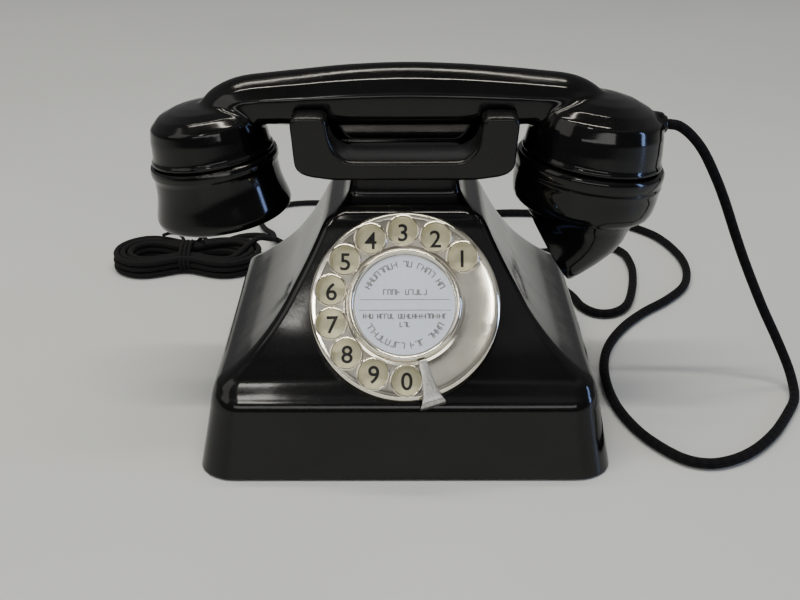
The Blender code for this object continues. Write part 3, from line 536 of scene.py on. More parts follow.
def studio_world():
    """A dim room: a pale wall behind, dark overhead, a bright wall above the camera with a dark patch."""
    world = bpy.data.worlds.new("studio")
    world.use_nodes = True
    tree = world.node_tree
    place = tree.nodes.new("ShaderNodeTexCoord").outputs["Generated"]
    split = tree.nodes.new("ShaderNodeSeparateXYZ")
    tree.links.new(place, split.inputs[0])
    front = sky_ramp(tree, split.outputs["Z"], ((0.0, 0.09), (0.35, 0.12), (0.56, 0.20), (0.635, 0.30),
                                                (0.675, 0.46), (0.74, 0.46), (0.82, 0.16), (1.0, 0.09)))
    back = sky_ramp(tree, split.outputs["Z"], ((0.0, 0.20), (0.2, 0.20), (0.45, 0.24), (0.7, 0.20),
                                               (1.0, 0.09)))
    both = blended(tree, smooth_step(tree, split.outputs["Y"], -0.35, 0.35), front, back)
    aim = tree.nodes.new("ShaderNodeVectorMath")
    aim.operation = "DOT_PRODUCT"
    aim.inputs[1].default_value = Vector((0.055, -0.775, 0.628)).normalized()
    tree.links.new(place, aim.inputs[0])
    patch = blended(tree, smooth_step(tree, aim.outputs["Value"], 0.9984, 0.9994), both, 0.08)
    tree.links.new(patch, tree.nodes["Background"].inputs["Color"])
    bpy.context.scene.world = world


def smooth_step(tree, source, low, high):
    made = tree.nodes.new("ShaderNodeMapRange")
    made.interpolation_type = "SMOOTHSTEP"
    made.inputs["From Min"].default_value = low
    made.inputs["From Max"].default_value = high
    tree.links.new(source, made.inputs["Value"])
    return made.outputs["Result"]


def blended(tree, factor, first, second):
    """Brightness from first to second; second may be a plain number."""
    mix = tree.nodes.new("ShaderNodeMix")
    tree.links.new(factor, mix.inputs["Factor"])
    tree.links.new(first, mix.inputs["A"])
    if isinstance(second, float):
        mix.inputs["B"].default_value = second
    else:
        tree.links.new(second, mix.inputs["B"])
    return mix.outputs["Result"]


def sky_ramp(tree, source, stops):
    ramp = tree.nodes.new("ShaderNodeValToRGB")
    fill_ramp(ramp, [(position, (level, level * 0.975, level * 0.90)) for position, level in stops])
    tree.links.new(source, ramp.inputs["Fac"])
    return ramp.outputs["Color"]


# ---------------------------------------------------------------- cords

HANDSET_CORD_ROUTE = [
    (110.3, 0.0, 123.5), (115.0, 0.1, 122.6), (120.6, 0.6, 118.4), (126.9, 1.57, 110.75),
    (133.8, 3.6, 98.6), (139.3, 4.6, 87.0), (145.2, 4.6, 72.6), (151.6, 4.0, 57.6),
    (160.8, 2.6, 38.0), (168.6, 1.0, 23.0), (174.4, -3.0, 10.6), (175.8, -10.0, 4.2), (173.6, -20.0, 2.5),
    (167.8, -31.0, 2.3), (157.4, -47.6, 2.3), (145.7, -61.0, 2.3), (134.5, -69.0, 2.3), (124.1, -71.9, 2.3),
    (114.5, -68.6, 2.3), (106.0, -58.6, 2.3), (99.1, -45.5, 2.3), (93.9, -27.3, 2.3), (92.3, -7.5, 2.3),
    (93.9, 13.7, 2.3), (99.3, 33.2, 2.3), (108.7, 51.6, 2.3), (121.8, 68.8, 2.3), (137.2, 84.4, 2.3),
    (149.6, 101.3, 2.3), (155.7, 120.6, 2.3), (156.7, 141.0, 2.3), (152.6, 162.5, 2.3), (145.0, 179.0, 2.3),
    (128.0, 196.0, 2.3), (104.0, 207.5, 2.3), (81.2, 211.5, 2.3), (56.3, 211.5, 2.3), (30.0, 204.0, 2.3),
    (14.0, 188.0, 2.3), (14.0, 168.0, 2.3), (30.0, 154.0, 2.3), (56.0, 147.0, 2.3), (85.0, 150.5, 2.3),
    (103.0, 158.5, 2.3), (117.0, 158.5, 2.3), (125.0, 148.0, 2.3), (126.6, 133.0, 2.3),
    (125.6, 119.0, 2.3), (121.7, 98.3, 2.3), (115.6, 79.0, 2.3), (107.4, 69.6, 2.3), (98.6, 69.0, 2.3),
    (92.0, 77.0, 2.3), (88.4, 90.0, 2.3), (82.0, 103.0, 2.4), (71.0, 108.6, 3.4), (61.0, 103.0, 6.2),
    (58.0, 94.0, 8.6), (58.0, 81.5, 9.0)]
LINE_LEAD = [
    (-50.0, 81.5, 9.0), (-50.0, 92.0, 8.0), (-51.0, 106.0, 4.0), (-55.0, 124.0, 1.8), (-62.0, 146.0, 1.8),
    (-72.0, 166.0, 1.8), (-85.0, 177.0, 1.8), (-98.0, 175.0, 1.8), (-108.0, 164.5, 1.8), (-118.0, 158.2, 1.8)]
LINE_TAIL = [
    (-84.5, 146.5, 12.1), (-79.5, 151.5, 10.4), (-76.2, 160.0, 6.4), (-77.4, 170.5, 5.3), (-83.5, 184.0, 3.0),
    (-88.0, 200.0, 1.8), (-85.5, 217.0, 1.8), (-74.0, 229.0, 1.8), (-54.0, 232.0, 1.8), (-34.0, 224.0, 1.8),
    (-22.5, 206.0, 1.8), (-22.0, 184.0, 1.8), (-22.0, 170.0, 3.6), (-22.0, 160.5, 5.4)]
HANK_CENTRE = [(low + high) / (2 * MM) for low, high in zip(*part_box("line_cord_hank"))]


def loop_point(run, half, travelled):
    """A point on a loop of two straight runs and two bends, from the middle of the rear run."""
    bend = math.pi * half
    if travelled < run / 2:
        return -travelled, half
    if travelled < run / 2 + bend:
        a = (travelled - run / 2) / half
        return -run / 2 - half * math.sin(a), half * math.cos(a)
    if travelled < run * 1.5 + bend:
        return -run / 2 + (travelled - run / 2 - bend), -half
    if travelled < run * 1.5 + 2 * bend:
        a = (travelled - run * 1.5 - bend) / half
        return run / 2 + half * math.sin(a), -half * math.cos(a)
    return run / 2 - (travelled - run * 1.5 - 2 * bend), half


def hank_turns():
    """Nine nested turns in three layers, pinched at the middle by the tie."""
    columns = ((32.4, 12.4, 4.6), (36.4, 15.9, 7.8), (40.2, 19.3, 11.0))
    order = ((2, 1.8), (1, 1.9), (0, 1.8), (0, 5.2), (1, 5.2), (2, 5.1), (2, 8.5), (1, 8.6), (0, 8.6))
    random.seed(7)
    drift = [(random.uniform(-0.7, 0.7), random.uniform(-0.5, 0.5), random.uniform(-0.25, 0.35))
             for _ in range(len(order) + 1)]
    points = []
    steps = 40
    for turn, (column, level) in enumerate(order):
        following = order[min(turn + 1, len(order) - 1)]
        last = steps if turn < len(order) - 1 else int(steps * 0.72)
        for k in range(last):
            t = k / steps
            ease = min(max((t - 0.72) / 0.28, 0.0), 1.0)
            ease = ease * ease * (3 - 2 * ease)
            first, second = columns[column], columns[following[0]]
            reach, half, waist = (a + (b - a) * ease for a, b in zip(first, second))
            shift = [a + (b - a) * ease for a, b in zip(drift[turn], drift[turn + 1])]
            z = level + (following[1] - level) * ease + max(shift[2], 0.0)
            run = 2 * (reach - half)
            x, y = loop_point(run, half, t * (2 * run + 2 * math.pi * half))
            near = math.exp(-(x / 13.0) ** 2)
            y = y * (1 - near) + math.copysign(waist, y) * near
            points.append(Vector((HANK_CENTRE[0] + x + shift[0] * 0.6, HANK_CENTRE[1] + y + shift[1] * 0.5,
                                  max(z, 1.8))))
    return points


def make_cords():
    path, length = curve_through(HANDSET_CORD_ROUTE, 1.6)
    cord = tube("handset_cord_braid", path, 2.2, 14, BRAID)
    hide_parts("handset_cord", "handset_cord_tail")
    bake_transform(cord)

    turns = hank_turns()
    lead, _ = curve_through(LINE_LEAD + [tuple(turns[1])], 1.2)
    tail, _ = curve_through([tuple(turns[-1])] + LINE_TAIL, 1.2)
    middle, _ = curve_through([tuple(p) for p in turns[1:]], 1.2)
    path = relaxed(lead + middle[1:] + tail[1:], 10, 6)
    length = sum((q - p).length for p, q in zip(path, path[1:]))
    flex = tube("line_cord_flex", path, 1.6, 10, FLEX)
    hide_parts("line_cord_lead", "line_cord_tail", "line_cord_hank")
    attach(flex, "phone")
    tie = make_tie()
    plug = make_plug()
    print("cord lengths", round(length), flush=True)


def make_tie():
    """A short wrap of the same flex round the hank's waist, with two loose ends."""
    path = []
    for k in range(76):
        t = k / 75
        angle = TAU * 3.0 * t + 0.4
        y = 13.2 * math.cos(angle)
        z = 6.2 + 6.6 * math.sin(angle)
        path.append(Vector((HANK_CENTRE[0] - 3.4 + 6.8 * t, HANK_CENTRE[1] + y, max(z, 1.0))))
    path, _ = curve_through([tuple(p) for p in path], 0.9)
    tie = tube("line_cord_tie", path, 0.95, 8, FLEX)
    ends = []
    for index, route in enumerate((
            [(-125.4, 149.0, 9.0), (-128.5, 151.5, 12.4), (-134.0, 152.0, 13.4), (-138.5, 150.5, 12.6)],
            [(-118.6, 148.0, 9.5), (-115.0, 146.5, 13.0), (-111.5, 141.0, 13.6), (-110.5, 135.0, 12.8)])):
        path, _ = curve_through(route, 0.9)
        ends.append(tube("tie_end_%d" % index, path, 0.95, 8, FLEX))
    tie = joined([tie] + ends, "line_cord_tie")
    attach(tie, "phone")
    return tie


def make_plug():
    """A small two pin plug with a waisted grip and a cord sleeve."""
    rings = []
    for y, half_width, half_height in ((126.1, 6.6, 3.4), (126.4, 9.0, 4.8), (127.4, 9.8, 5.3),
                                       (131.0, 10.0, 5.5), (136.0, 9.8, 5.4), (141.0, 9.0, 5.1),
                                       (146.0, 8.4, 4.9), (150.0, 8.2, 4.8), (153.5, 6.8, 4.2),
                                       (155.4, 4.6, 3.3), (156.6, 3.4, 2.8), (157.6, 3.0, 2.6),
                                       (157.9, 2.4, 2.2)):
        ring = []
        for k in range(40):
            a = TAU * k / 40
            c, s = math.cos(a), math.sin(a)
            ring.append((-22.0 + half_width * math.copysign(abs(c) ** 0.55, c), y,
                         5.6 + half_height * math.copysign(abs(s) ** 0.55, s)))
        rings.append(ring)
    plug = add_object("plug_shell", skin(rings), BAKELITE, angle=50.0)
    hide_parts("line_plug")
    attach(plug, "phone")
    return plug


# ---------------------------------------------------------------- case

CASE_TABLE = [
    (0.6, 83.8, -80.8, 79.9, 15.0), (26.0, 79.0, -75.8, 75.05, 13.2), (28.4, 78.65, -75.4, 74.6, 13.0),
    (30.2, 78.3, -74.8, 74.1, 12.6), (31.8, 77.9, -73.95, 73.4, 12.0), (33.2, 77.5, -72.85, 72.5, 11.4),
    (34.6, 77.05, -71.85, 71.3, 10.8), (36.4, 76.1, -70.65, 69.0, 9.8)]


def face_y(z):
    """Depth of the flat panel that carries the dial, at height z."""
    panel_y = DIAL_CENTRE.y + FACE_DEPTH * math.cos(DIAL_LEAN)
    panel_z = DIAL_CENTRE.z - FACE_DEPTH * math.sin(DIAL_LEAN)
    return panel_y + (z - panel_z) * math.tan(DIAL_LEAN)


def case_table():
    upper = [(38.6, 73.9, face_y(38.6) - 2.6, 65.5, 8.5), (41.0, 70.3, face_y(41.0) - 2.1, 62.0, 7.0),
             (44.2, 66.1, face_y(44.2) - 1.4, 59.0, 5.5), (47.5, 62.1, face_y(47.5) - 0.75, 55.6, 4.6),
             (51.5, 58.1, face_y(51.5) - 0.25, 51.6, 4.0), (56.0, 54.2, face_y(56.0), 46.8, 3.6),
             (62.0, 49.7, face_y(62.0), 40.6, 3.4), (69.0, 45.4, face_y(69.0), 33.6, 3.4),
             (77.0, 40.6, face_y(77.0), 28.2, 3.4), (85.0, 36.2, face_y(85.0), 25.8, 3.4),
             (90.0, 33.6, face_y(90.0), 25.2, 3.6), (92.5, 31.6, face_y(92.5) + 0.5, 25.1, 4.0),
             (94.6, 28.8, -28.6, 25.0, 4.2), (96.4, 26.6, -25.4, 25.0, 4.2),
             (98.4, 24.7, -22.9, 25.0, 4.0), (101.0, 23.3, -21.2, 25.0, 4.0), (107.3, 22.2, -20.4, 25.0, 4.0)]
    return CASE_TABLE + upper


def pchip(xs, ys, x):
    """Monotone cubic through table values."""
    n = len(xs)
    i = min(max(sum(1 for v in xs if v <= x) - 1, 0), n - 2)
    slopes = [(ys[k + 1] - ys[k]) / (xs[k + 1] - xs[k]) for k in range(n - 1)]

    def tangent(k):
        if k == 0:
            return slopes[0]
        if k == n - 1:
            return slopes[-1]
        a, b = slopes[k - 1], slopes[k]
        return 0.0 if a * b <= 0 else 2 * a * b / (a + b)
    h = xs[i + 1] - xs[i]
    t = (x - xs[i]) / h
    return (ys[i] * (1 + 2 * t) * (1 - t) ** 2 + tangent(i) * h * t * (1 - t) ** 2
            + ys[i + 1] * t * t * (3 - 2 * t) - tangent(i + 1) * h * t * t * (1 - t))


def case_heights():
    heights = [0.6, 0.7, 1.0]
    spans = ((1.0, 26.0, 8), (26.0, 36.4, 18), (36.4, 47.5, 14), (47.5, 88.0, 22), (88.0, 101.0, 16),
             (101.0, 107.3, 4))
    for low, high, count in spans:
        heights += [low + (high - low) * (k + 1) / count for k in range(count)]
    return heights


def section(values, z):
    """One ring of the case at height z."""
    return [(p.x, p.y, z) for p in rounded_rectangle(*values, 8, 8)]


def make_case():
    table = case_table()
    xs = [row[0] for row in table]
    columns = [[row[k] for row in table] for k in range(1, 5)]
    outer, inner = [], []
    for z in case_heights():
        values = [pchip(xs, column, z) for column in columns]
        if 36.4 < z < 56.0:
            values[1] = min(values[1], face_y(z))
        if 56.0 <= z <= 90.0:
            values[1] = face_y(z)
        outer.append(section(values, z))
        if z < 103.0:
            half_width, front, back, radius = values
            walls = (half_width - WALL, max(front, face_y(z)) + WALL, back - WALL, max(radius - WALL, 1.0))
            inner.append(section(walls, z))
    inner = inner[::6]
    roof = [(x, y, 104.3) for x, y, _ in inner[-1]]
    case = add_object("case_shell", skin([roof] + inner[::-1] + outer), BAKELITE, angle=32.0)
    tools = [rod("t_recess", 38.9, 0.05 - FACE_DEPTH, 9.0, BAKELITE, DIAL_FRAME, 128),
             rod("t_opening", 33.2, -45.0, 5.0, BAKELITE, DIAL_FRAME)]
    for x, radius in ((58.0, 4.3), (-50.0, 3.8)):
        circle = [(x + radius * math.cos(TAU * k / 32), 9.0 + radius * math.sin(TAU * k / 32))
                  for k in range(32)]
        tools.append(add_object("t_hole", outline_solid(circle, 65.0, 95.0, "Y"), BAKELITE))
    carve(case, tools, angle=32.0)
    finish_piece(case, "phone", "bakelite", "case")


def finish_piece(obj, body, slot, *nodes):
    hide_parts(*nodes)
    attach(obj, body)


# ---------------------------------------------------------------- cradle

def make_cradle():
    half = [(0.0, 107.6), (26.0, 107.6), (34.0, 108.3), (39.5, 109.3), (42.6, 110.9),
            (44.4, 113.4), (45.0, 118.0), (45.4, 124.0), (45.9, 130.0), (45.6, 132.6), (44.0, 134.0),
            (41.5, 134.3), (35.0, 134.3), (32.6, 133.8), (31.3, 132.2), (30.9, 130.0),
            (30.0, 125.0), (28.4, 121.0), (26.0, 118.0), (23.2, 116.2), (20.0, 115.8), (10.0, 115.75),
            (0.0, 115.7)]
    smooth, _ = curve_through([(x, z, 0.0) for x, z in half], 0.9)
    outline = [(p.x, p.y) for p in smooth[1:-1]]
    outline = [(0.0, 107.6)] + outline + [(0.0, 115.7)] + [(-x, z) for x, z in reversed(outline)]
    cradle = add_object("cradle_fork", outline_solid(outline, -26.0, 26.0, "Y"), CRADLE_BAKELITE)
    round_edges(cradle, 1.9, 4, 55.0)
    side = [(16.0, 141.0), (15.2, 134.5), (14.6, 130.0), (13.6, 126.5), (11.6, 123.0), (8.8, 120.0),
            (6.0, 117.6), (4.6, 115.8), (4.2, 114.8)]
    trough, _ = curve_through([(y, z, 0.0) for y, z in side], 1.2)
    profile = [(-p.x, p.y) for p in trough] + [(p.x, p.y) for p in reversed(trough)]
    rise = [(3.0, 112.0), (5.0, 115.2), (8.0, 116.9), (12.0, 119.0), (16.0, 120.8), (19.0, 121.6),
            (23.0, 121.6), (25.0, 120.6), (25.8, 118.6), (25.8, 112.0)]
    back_rise = add_object("t_rise", outline_solid(rise, -31.5, 31.5, "X"), CRADLE_BAKELITE)
    carve(cradle, [back_rise], "UNION")
    tools = [add_object("t_trough", outline_solid(profile, -60.0, 60.0, "X"), CRADLE_BAKELITE)]
    for x in (-38.0, 38.0):
        box = rounded_rectangle(3.5, -6.5, 6.5, 1.0, 4)
        tools.append(add_object("t_slot", outline_solid([(px + x, py) for px, py in box], 100.0, 130.0),
                                CRADLE_BAKELITE))
    channel = rounded_rectangle(42.0, -5.0, 5.0, 1.0, 4)
    tools.append(add_object("t_channel", outline_solid(channel, 102.0, 113.6), CRADLE_BAKELITE))
    carve(cradle, tools)
    round_edges(cradle, 0.8, 3, 38.0).use_clamp_overlap = True
    cradle.modifiers.new("flats", "WEIGHTED_NORMAL").keep_sharp = True
    baked(cradle, 50.0)
    finish_piece(cradle, "phone", "bakelite", "cradle")


# ---------------------------------------------------------------- handset

GRIP_PROFILE = [
    (0.00, 1.00), (0.11, 0.985), (0.22, 0.945), (0.33, 0.885), (0.44, 0.815), (0.56, 0.728), (0.655, 0.652),
    (0.69, 0.618), (0.72, 0.578), (0.80, 0.465), (0.90, 0.325), (0.955, 0.248), (0.985, 0.190), (0.997, 0.10),
    (1.00, 0.00), (1.00, -0.20), (0.98, -0.42), (0.92, -0.62), (0.80, -0.78), (0.62, -0.90), (0.42, -0.96),
    (0.20, -0.99), (0.00, -1.00)]
GRIP_STATIONS = [
    ((-80.4, 112.0), (0.05, 1.0), 17.0, 17.0), ((-80.0, 116.0), (0.15, 1.0), 18.0, 18.6),
    ((-78.6, 123.0), (0.35, 1.0), 20.0, 20.5), ((-75.0, 129.4), (0.75, 1.0), 21.0, 22.5),
    ((-68.5, 133.4), (1.0, 0.55), 20.6, 24.0), ((-59.0, 135.2), (1.0, 0.10), 20.6, 25.0),
    ((-44.0, 135.9), (1.0, 0.05), 22.3, 26.0), ((-22.0, 136.9), (1.0, 0.03), 24.5, 27.0),
    ((0.0, 137.3), (1.0, 0.0), 25.4, 27.2), ((22.0, 137.0), (1.0, -0.03), 24.7, 27.0),
    ((44.0, 136.2), (1.0, -0.05), 23.0, 26.4), ((59.0, 135.4), (1.0, -0.10), 21.6, 25.6),
    ((68.5, 133.8), (1.0, -0.55), 21.6, 25.0), ((75.0, 129.6), (0.75, -1.0), 22.0, 24.0),
    ((78.2, 123.0), (0.35, -1.0), 21.0, 22.0), ((79.0, 116.0), (0.15, -1.0), 19.0, 20.6),
    ((79.4, 112.0), (0.05, -1.0), 17.0, 18.0)]


def grip_rings():
    """Grip sections with a crowned top and a bevelled shoulder on both sides."""
    index = list(range(len(GRIP_STATIONS)))
    centres = [Vector(station[0]) for station in GRIP_STATIONS]
    turns = [math.atan2(station[1][1], station[1][0]) for station in GRIP_STATIONS]
    heights = [station[2] for station in GRIP_STATIONS]
    widths = [station[3] for station in GRIP_STATIONS]
    count = 12
    rings = []
    for step in range(count * index[-1] + 1):
        i = min(step // count, index[-1] - 1)
        t = step / count - i
        centre = spline_point(centres[max(i - 1, 0)], centres[i], centres[i + 1],
                              centres[min(i + 2, index[-1])], t)
        turn, height, width = (pchip(index, values, i + t) for values in (turns, heights, widths))
        half = [(w * width / 2, h * height / 2) for w, h in GRIP_PROFILE]
        outline = half + [(-w, h) for w, h in reversed(half[1:-1])]
        rings.append([(centre.x - math.sin(turn) * h, -w, centre.y + math.cos(turn) * h) for w, h in outline])
    return rings


def make_handset():
    """Grip and both end shells, merged and faired where they meet."""
    body = add_object("handset_body", skin(grip_rings()), BAKELITE, angle=180.0)
    receiver = [(0, 22.3), (8.0, 22.0), (14.5, 21.0), (19.8, 19.0), (23.5, 15.4), (24.5, 10.5), (24.9, 5.0),
                (25.2, 2.4), (26.0, 1.9), (26.1, 0.9), (25.7, 0.3), (0, 0.3)]
    transmitter = [(0, 28.2), (8.0, 27.4), (15.0, 25.8), (21.0, 23.3), (26.1, 19.6), (27.9, 14.0),
                   (28.8, 8.0), (29.3, 2.6), (29.9, 2.0), (30.0, 0.9), (29.6, 0.3), (0, 0.3)]
    shells = []
    for name, profile, place in (("t_receiver", receiver, RECEIVER_FRAME),
                                 ("t_transmitter", transmitter, TRANSMITTER_FRAME)):
        smooth = fillet(profile, {1: 3.0, 2: 3.0, 3: 3.0, 4: 2.4, 5: 2.5, 6: 2.5, 8: 0.3, 9: 0.3}, 4)
        shells.append(lathe(name, smooth, BAKELITE, place, 96))
    trees = [tree_of([body]), tree_of(shells)]
    seat = lathe("t_seat", [(0, 94.0), (5.4, 94.0), (5.5, 105.0), (5.0, 107.8), (4.4, 108.6), (0, 108.6)],
                 BAKELITE, GLAND_FRAME, 40)
    carve(body, shells + [seat], "UNION")
    remesh = body.modifiers.new("merge", "REMESH")
    remesh.mode = "VOXEL"
    remesh.voxel_size = 0.00056
    baked(body, 180.0)
    fair_joints(body, trees)
    wells = [lathe("t_well_a", [(0, -3.0), (22.0, -3.0), (22.0, 13.0), (17.0, 17.0), (0, 18.6)], BAKELITE,
                   RECEIVER_FRAME, 64),
             lathe("t_well_b", [(0, -3.0), (26.0, -3.0), (26.0, 14.0), (20.0, 20.0), (0, 23.6)], BAKELITE,
                   TRANSMITTER_FRAME, 64)]
    carve(body, wells, angle=50.0)
    finish_piece(body, "handset", "bakelite", "handset_moulding")


def tree_of(objects):
    """A search tree over the surfaces of some objects, in metres."""
    bm = bmesh.new()
    for obj in objects:
        mesh = obj.data.copy()
        mesh.transform(obj.matrix_world)
        bm.from_mesh(mesh)
        bpy.data.meshes.remove(mesh)
    tree = BVHTree.FromBMesh(bm)
    bm.free()
    return tree


def fair_joints(body, trees):
    """Smooth everywhere a little, and much more along the lines where the grip meets the shells."""
    group = body.vertex_groups.new(name="joint")
    for vertex in body.data.vertices:
        away = max(tree.find_nearest(vertex.co, 0.008)[3] or 0.008 for tree in trees)
        weight = min(1.0, max(0.0, (0.0052 - away) / 0.0030))
        if weight > 0.01:
            group.add([vertex.index], weight, "REPLACE")
    even = body.modifiers.new("even", "SMOOTH")
    even.factor = 0.5
    even.iterations = 5
    fair = body.modifiers.new("fair", "SMOOTH")
    fair.factor = 0.5
    fair.iterations = 60
    fair.vertex_group = "joint"
    baked(body, 180.0)
    body.vertex_groups.clear()


def sound_holes(place, rings, turn, radius, low, high):
    """Small holes in rings round a capsule's axis, as one tool."""
    tools = []
    for ring_radius, count in rings:
        for k in range(count):
            a = TAU * (k + turn) / count
            spot = Vector((ring_radius * math.cos(a), ring_radius * math.sin(a), 0.0)) * MM
            tools.append(rod("t_sound", radius, low, high, BAKELITE, place @ Matrix.Translation(spot), 16))
    return joined(tools, "t_sounds")


def make_receiver_cap():
    outer = [(22.6, -0.3), (26.2, -0.3), (27.0, -0.8), (27.35, -2.2), (27.3, -4.0), (26.9, -5.0),
             (26.55, -6.2), (26.5, -8.6), (26.75, -12.5), (27.6, -17.0), (28.7, -21.2), (29.1, -23.6),
             (28.7, -25.6), (26.9, -27.1), (23.8, -27.6), (20.0, -27.2), (15.0, -25.6), (9.0, -24.3),
             (0.0, -23.6), (0.0, -21.0), (20.0, -21.0), (22.6, -18.0)]
    profile = fillet(outer, {1: 0.4, 2: 0.5, 3: 1.2, 4: 0.8, 5: 0.5, 6: 1.2, 11: 2.0, 12: 2.2, 13: 2.2,
                             14: 2.0, 15: 3.0}, 4)
    cap = lathe("receiver_ear_cap", profile, BAKELITE, RECEIVER_FRAME, 128)
    rings = ((0.0, 1), (6.0, 6), (11.5, 12))
    carve(cap, [sound_holes(RECEIVER_FRAME, rings, 0.5, 1.15, -30.0, -15.0)], angle=40.0)
    finish_piece(cap, "handset", "bakelite", "receiver_cap")


def disc_rings(*sizes):
    """Level rings round the transmitter's axis from (radius, height) pairs."""
    c, s = math.cos(END_TILT), math.sin(END_TILT)
    rings = []
    for radius, height in sizes:
        x, z = TRANSMITTER[0] + s * height, TRANSMITTER[2] + c * height
        rings.append(((x - c * radius, z + s * radius), (x + c * radius, z - s * radius), radius))
    return rings


def make_mouthpiece():
    """The screw cap and the slanted horn below it, with a thin rolled lip."""
    outer = disc_rings((30.0, -0.3), (31.0, -0.6), (31.6, -1.4), (31.75, -2.6), (31.7, -4.6), (31.4, -5.4),
                       (31.3, -6.2), (31.6, -6.8), (31.6, -7.6), (31.3, -8.4), (31.2, -11.0), (31.0, -14.0),
                       (30.6, -17.0), (30.0, -19.2), (28.9, -21.0), (27.0, -22.4), (25.2, -23.0))
    outer += [((52.3, 87.4), (98.4, 80.6), 23.6), ((52.6, 87.0), (97.0, 78.2), 23.2),
              ((53.2, 86.2), (95.4, 74.0), 22.4), ((53.8, 85.4), (91.8, 68.6), 21.0),
              ((54.0, 85.0), (85.0, 62.6), 19.8), ((54.0, 84.6), (77.8, 57.4), 19.0),
              ((54.2, 84.4), (73.6, 54.9), 18.8), ((54.8, 83.6), (72.4, 54.5), 18.2),
              ((55.6, 82.9), (71.8, 55.6), 17.2)]
    inner = [((56.2, 82.8), (72.9, 58.0), 16.4), ((57.0, 83.4), (79.0, 63.6), 16.8),
             ((57.6, 84.2), (86.0, 71.0), 18.0), ((57.4, 86.4), (92.0, 80.6), 20.0)]
    inner += disc_rings((20.0, -17.0), (0.6, -16.2), (0.6, -13.6), (24.0, -13.6), (26.4, -11.0), (26.4, -0.3))
    rings = []
    for left, right, depth in outer + inner:
        centre = ((left[0] + right[0]) / 2, (left[1] + right[1]) / 2)
        half = ((right[0] - left[0]) / 2, (right[1] - left[1]) / 2)
        rings.append([(centre[0] + half[0] * math.cos(TAU * k / 96), depth * math.sin(TAU * k / 96),
                       centre[1] + half[1] * math.cos(TAU * k / 96)) for k in range(96)])
    horn = add_object("mouthpiece_horn", skin(rings, closed_loop=True), BAKELITE, angle=34.0)
    rings = ((0.0, 1), (6.0, 6), (12.0, 12))
    carve(horn, [sound_holes(TRANSMITTER_FRAME, rings, 0.25, 1.2, -19.0, -12.0)], angle=34.0)
    finish_piece(horn, "handset", "bakelite", "mouthpiece")


def make_gland():
    """The moulded collar where the cord leaves the handset."""
    profile = [(0, 99.5), (4.0, 99.5), (4.0, 107.6), (3.9, 108.6), (3.5, 109.4), (3.0, 109.8), (0, 109.8)]
    collar = lathe("handset_collar", fillet(profile, {2: 0.3, 5: 0.4}, 3), BAKELITE, GLAND_FRAME, 48)
    finish_piece(collar, "handset", "bakelite", "handset_gland")


# ---------------------------------------------------------------- dial

def shifted_dial(x, y, z=0.0):
    return DIAL_FRAME @ Matrix.Translation(Vector((x, y, z)) * MM)


def make_finger_wheel():
    profile = [(3.3, -1.5), (21.0, -1.5), (35.6, -1.4), (36.2, -2.2), (36.6, -4.4), (37.5, -4.4),
               (38.1, -3.5), (38.05, -2.0), (37.6, -0.7), (36.7, -0.05), (35.4, 0.0), (34.4, -0.25),
               (24.0, -0.25), (23.0, 0.0), (3.3, 0.0)]
    profile = fillet(profile, {5: 0.4, 6: 0.7, 7: 0.8, 8: 0.9, 9: 0.7, 10: 0.7, 12: 0.3, 13: 0.3}, 4)
    wheel = lathe("dial_finger_wheel", profile, NICKEL, DIAL_FRAME, 160)
    tools, rims = [], []
    ring = [(5.8, -1.5), (5.8, -0.1), (5.9, 0.18), (6.12, 0.3), (6.4, 0.22), (6.62, -0.02), (6.75, -0.32),
            (6.4, -0.7)]
    for angle in HOLE_TURNS:
        place = shifted_dial(HOLE_PITCH_RADIUS * math.cos(angle), HOLE_PITCH_RADIUS * math.sin(angle))
        tools.append(rod("t_hole", 5.85, -3.0, 2.0, NICKEL, place, 56))
        rims.append(lathe("t_rim", ring, NICKEL, place, 56))
    carve(wheel, [joined(tools, "t_holes")], angle=30.0)
    whole = joined([wheel] + rims, "dial_finger_wheel")
    finish_piece(whole, "dial", "nickel", "finger_wheel")


def make_number_plate():
    profile = [(10.0, -6.4), (35.8, -6.4), (35.8, -7.4), (36.9, -7.4), (36.9, -5.6), (36.7, -5.4),
               (10.0, -5.4)]
    plate = lathe("dial_number_ring", profile, ENAMEL, DIAL_FRAME, 96, 30.0)
    finish_piece(plate, "phone", "enamel", "number_plate")
    digits = [make_digit(k, angle) for k, angle in enumerate(HOLE_TURNS)]
    bpy.context.view_layer.update()
    numbers = joined(digits, "dial_digits")
    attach(numbers, "phone")


def make_digit(k, angle):
    """One dial digit as a thin mesh behind its hole: 1 to 9, then 0."""
    data = bpy.data.curves.new("digit", "FONT")
    data.body = str((k + 1) % 10)
    data.size = 0.0098
    data.extrude = 0.00004
    data.offset = 0.00012
    data.align_x = "CENTER"
    data.align_y = "CENTER"
    data.resolution_u = 6
    data.materials.append(INK.material)
    text = bpy.data.objects.new("digit", data)
    bpy.context.scene.collection.objects.link(text)
    text.matrix_world = shifted_dial(HOLE_PITCH_RADIUS * math.cos(angle),
                                     HOLE_PITCH_RADIUS * math.sin(angle) - 0.2, -5.33)
    bpy.context.view_layer.update()
    mesh = bpy.data.meshes.new_from_object(text.evaluated_get(bpy.context.evaluated_depsgraph_get()))
    solid = bpy.data.objects.new("digit_%d" % k, mesh)
    bpy.context.scene.collection.objects.link(solid)
    solid.matrix_world = text.matrix_world
    bpy.data.objects.remove(text, do_unlink=True)
    return solid


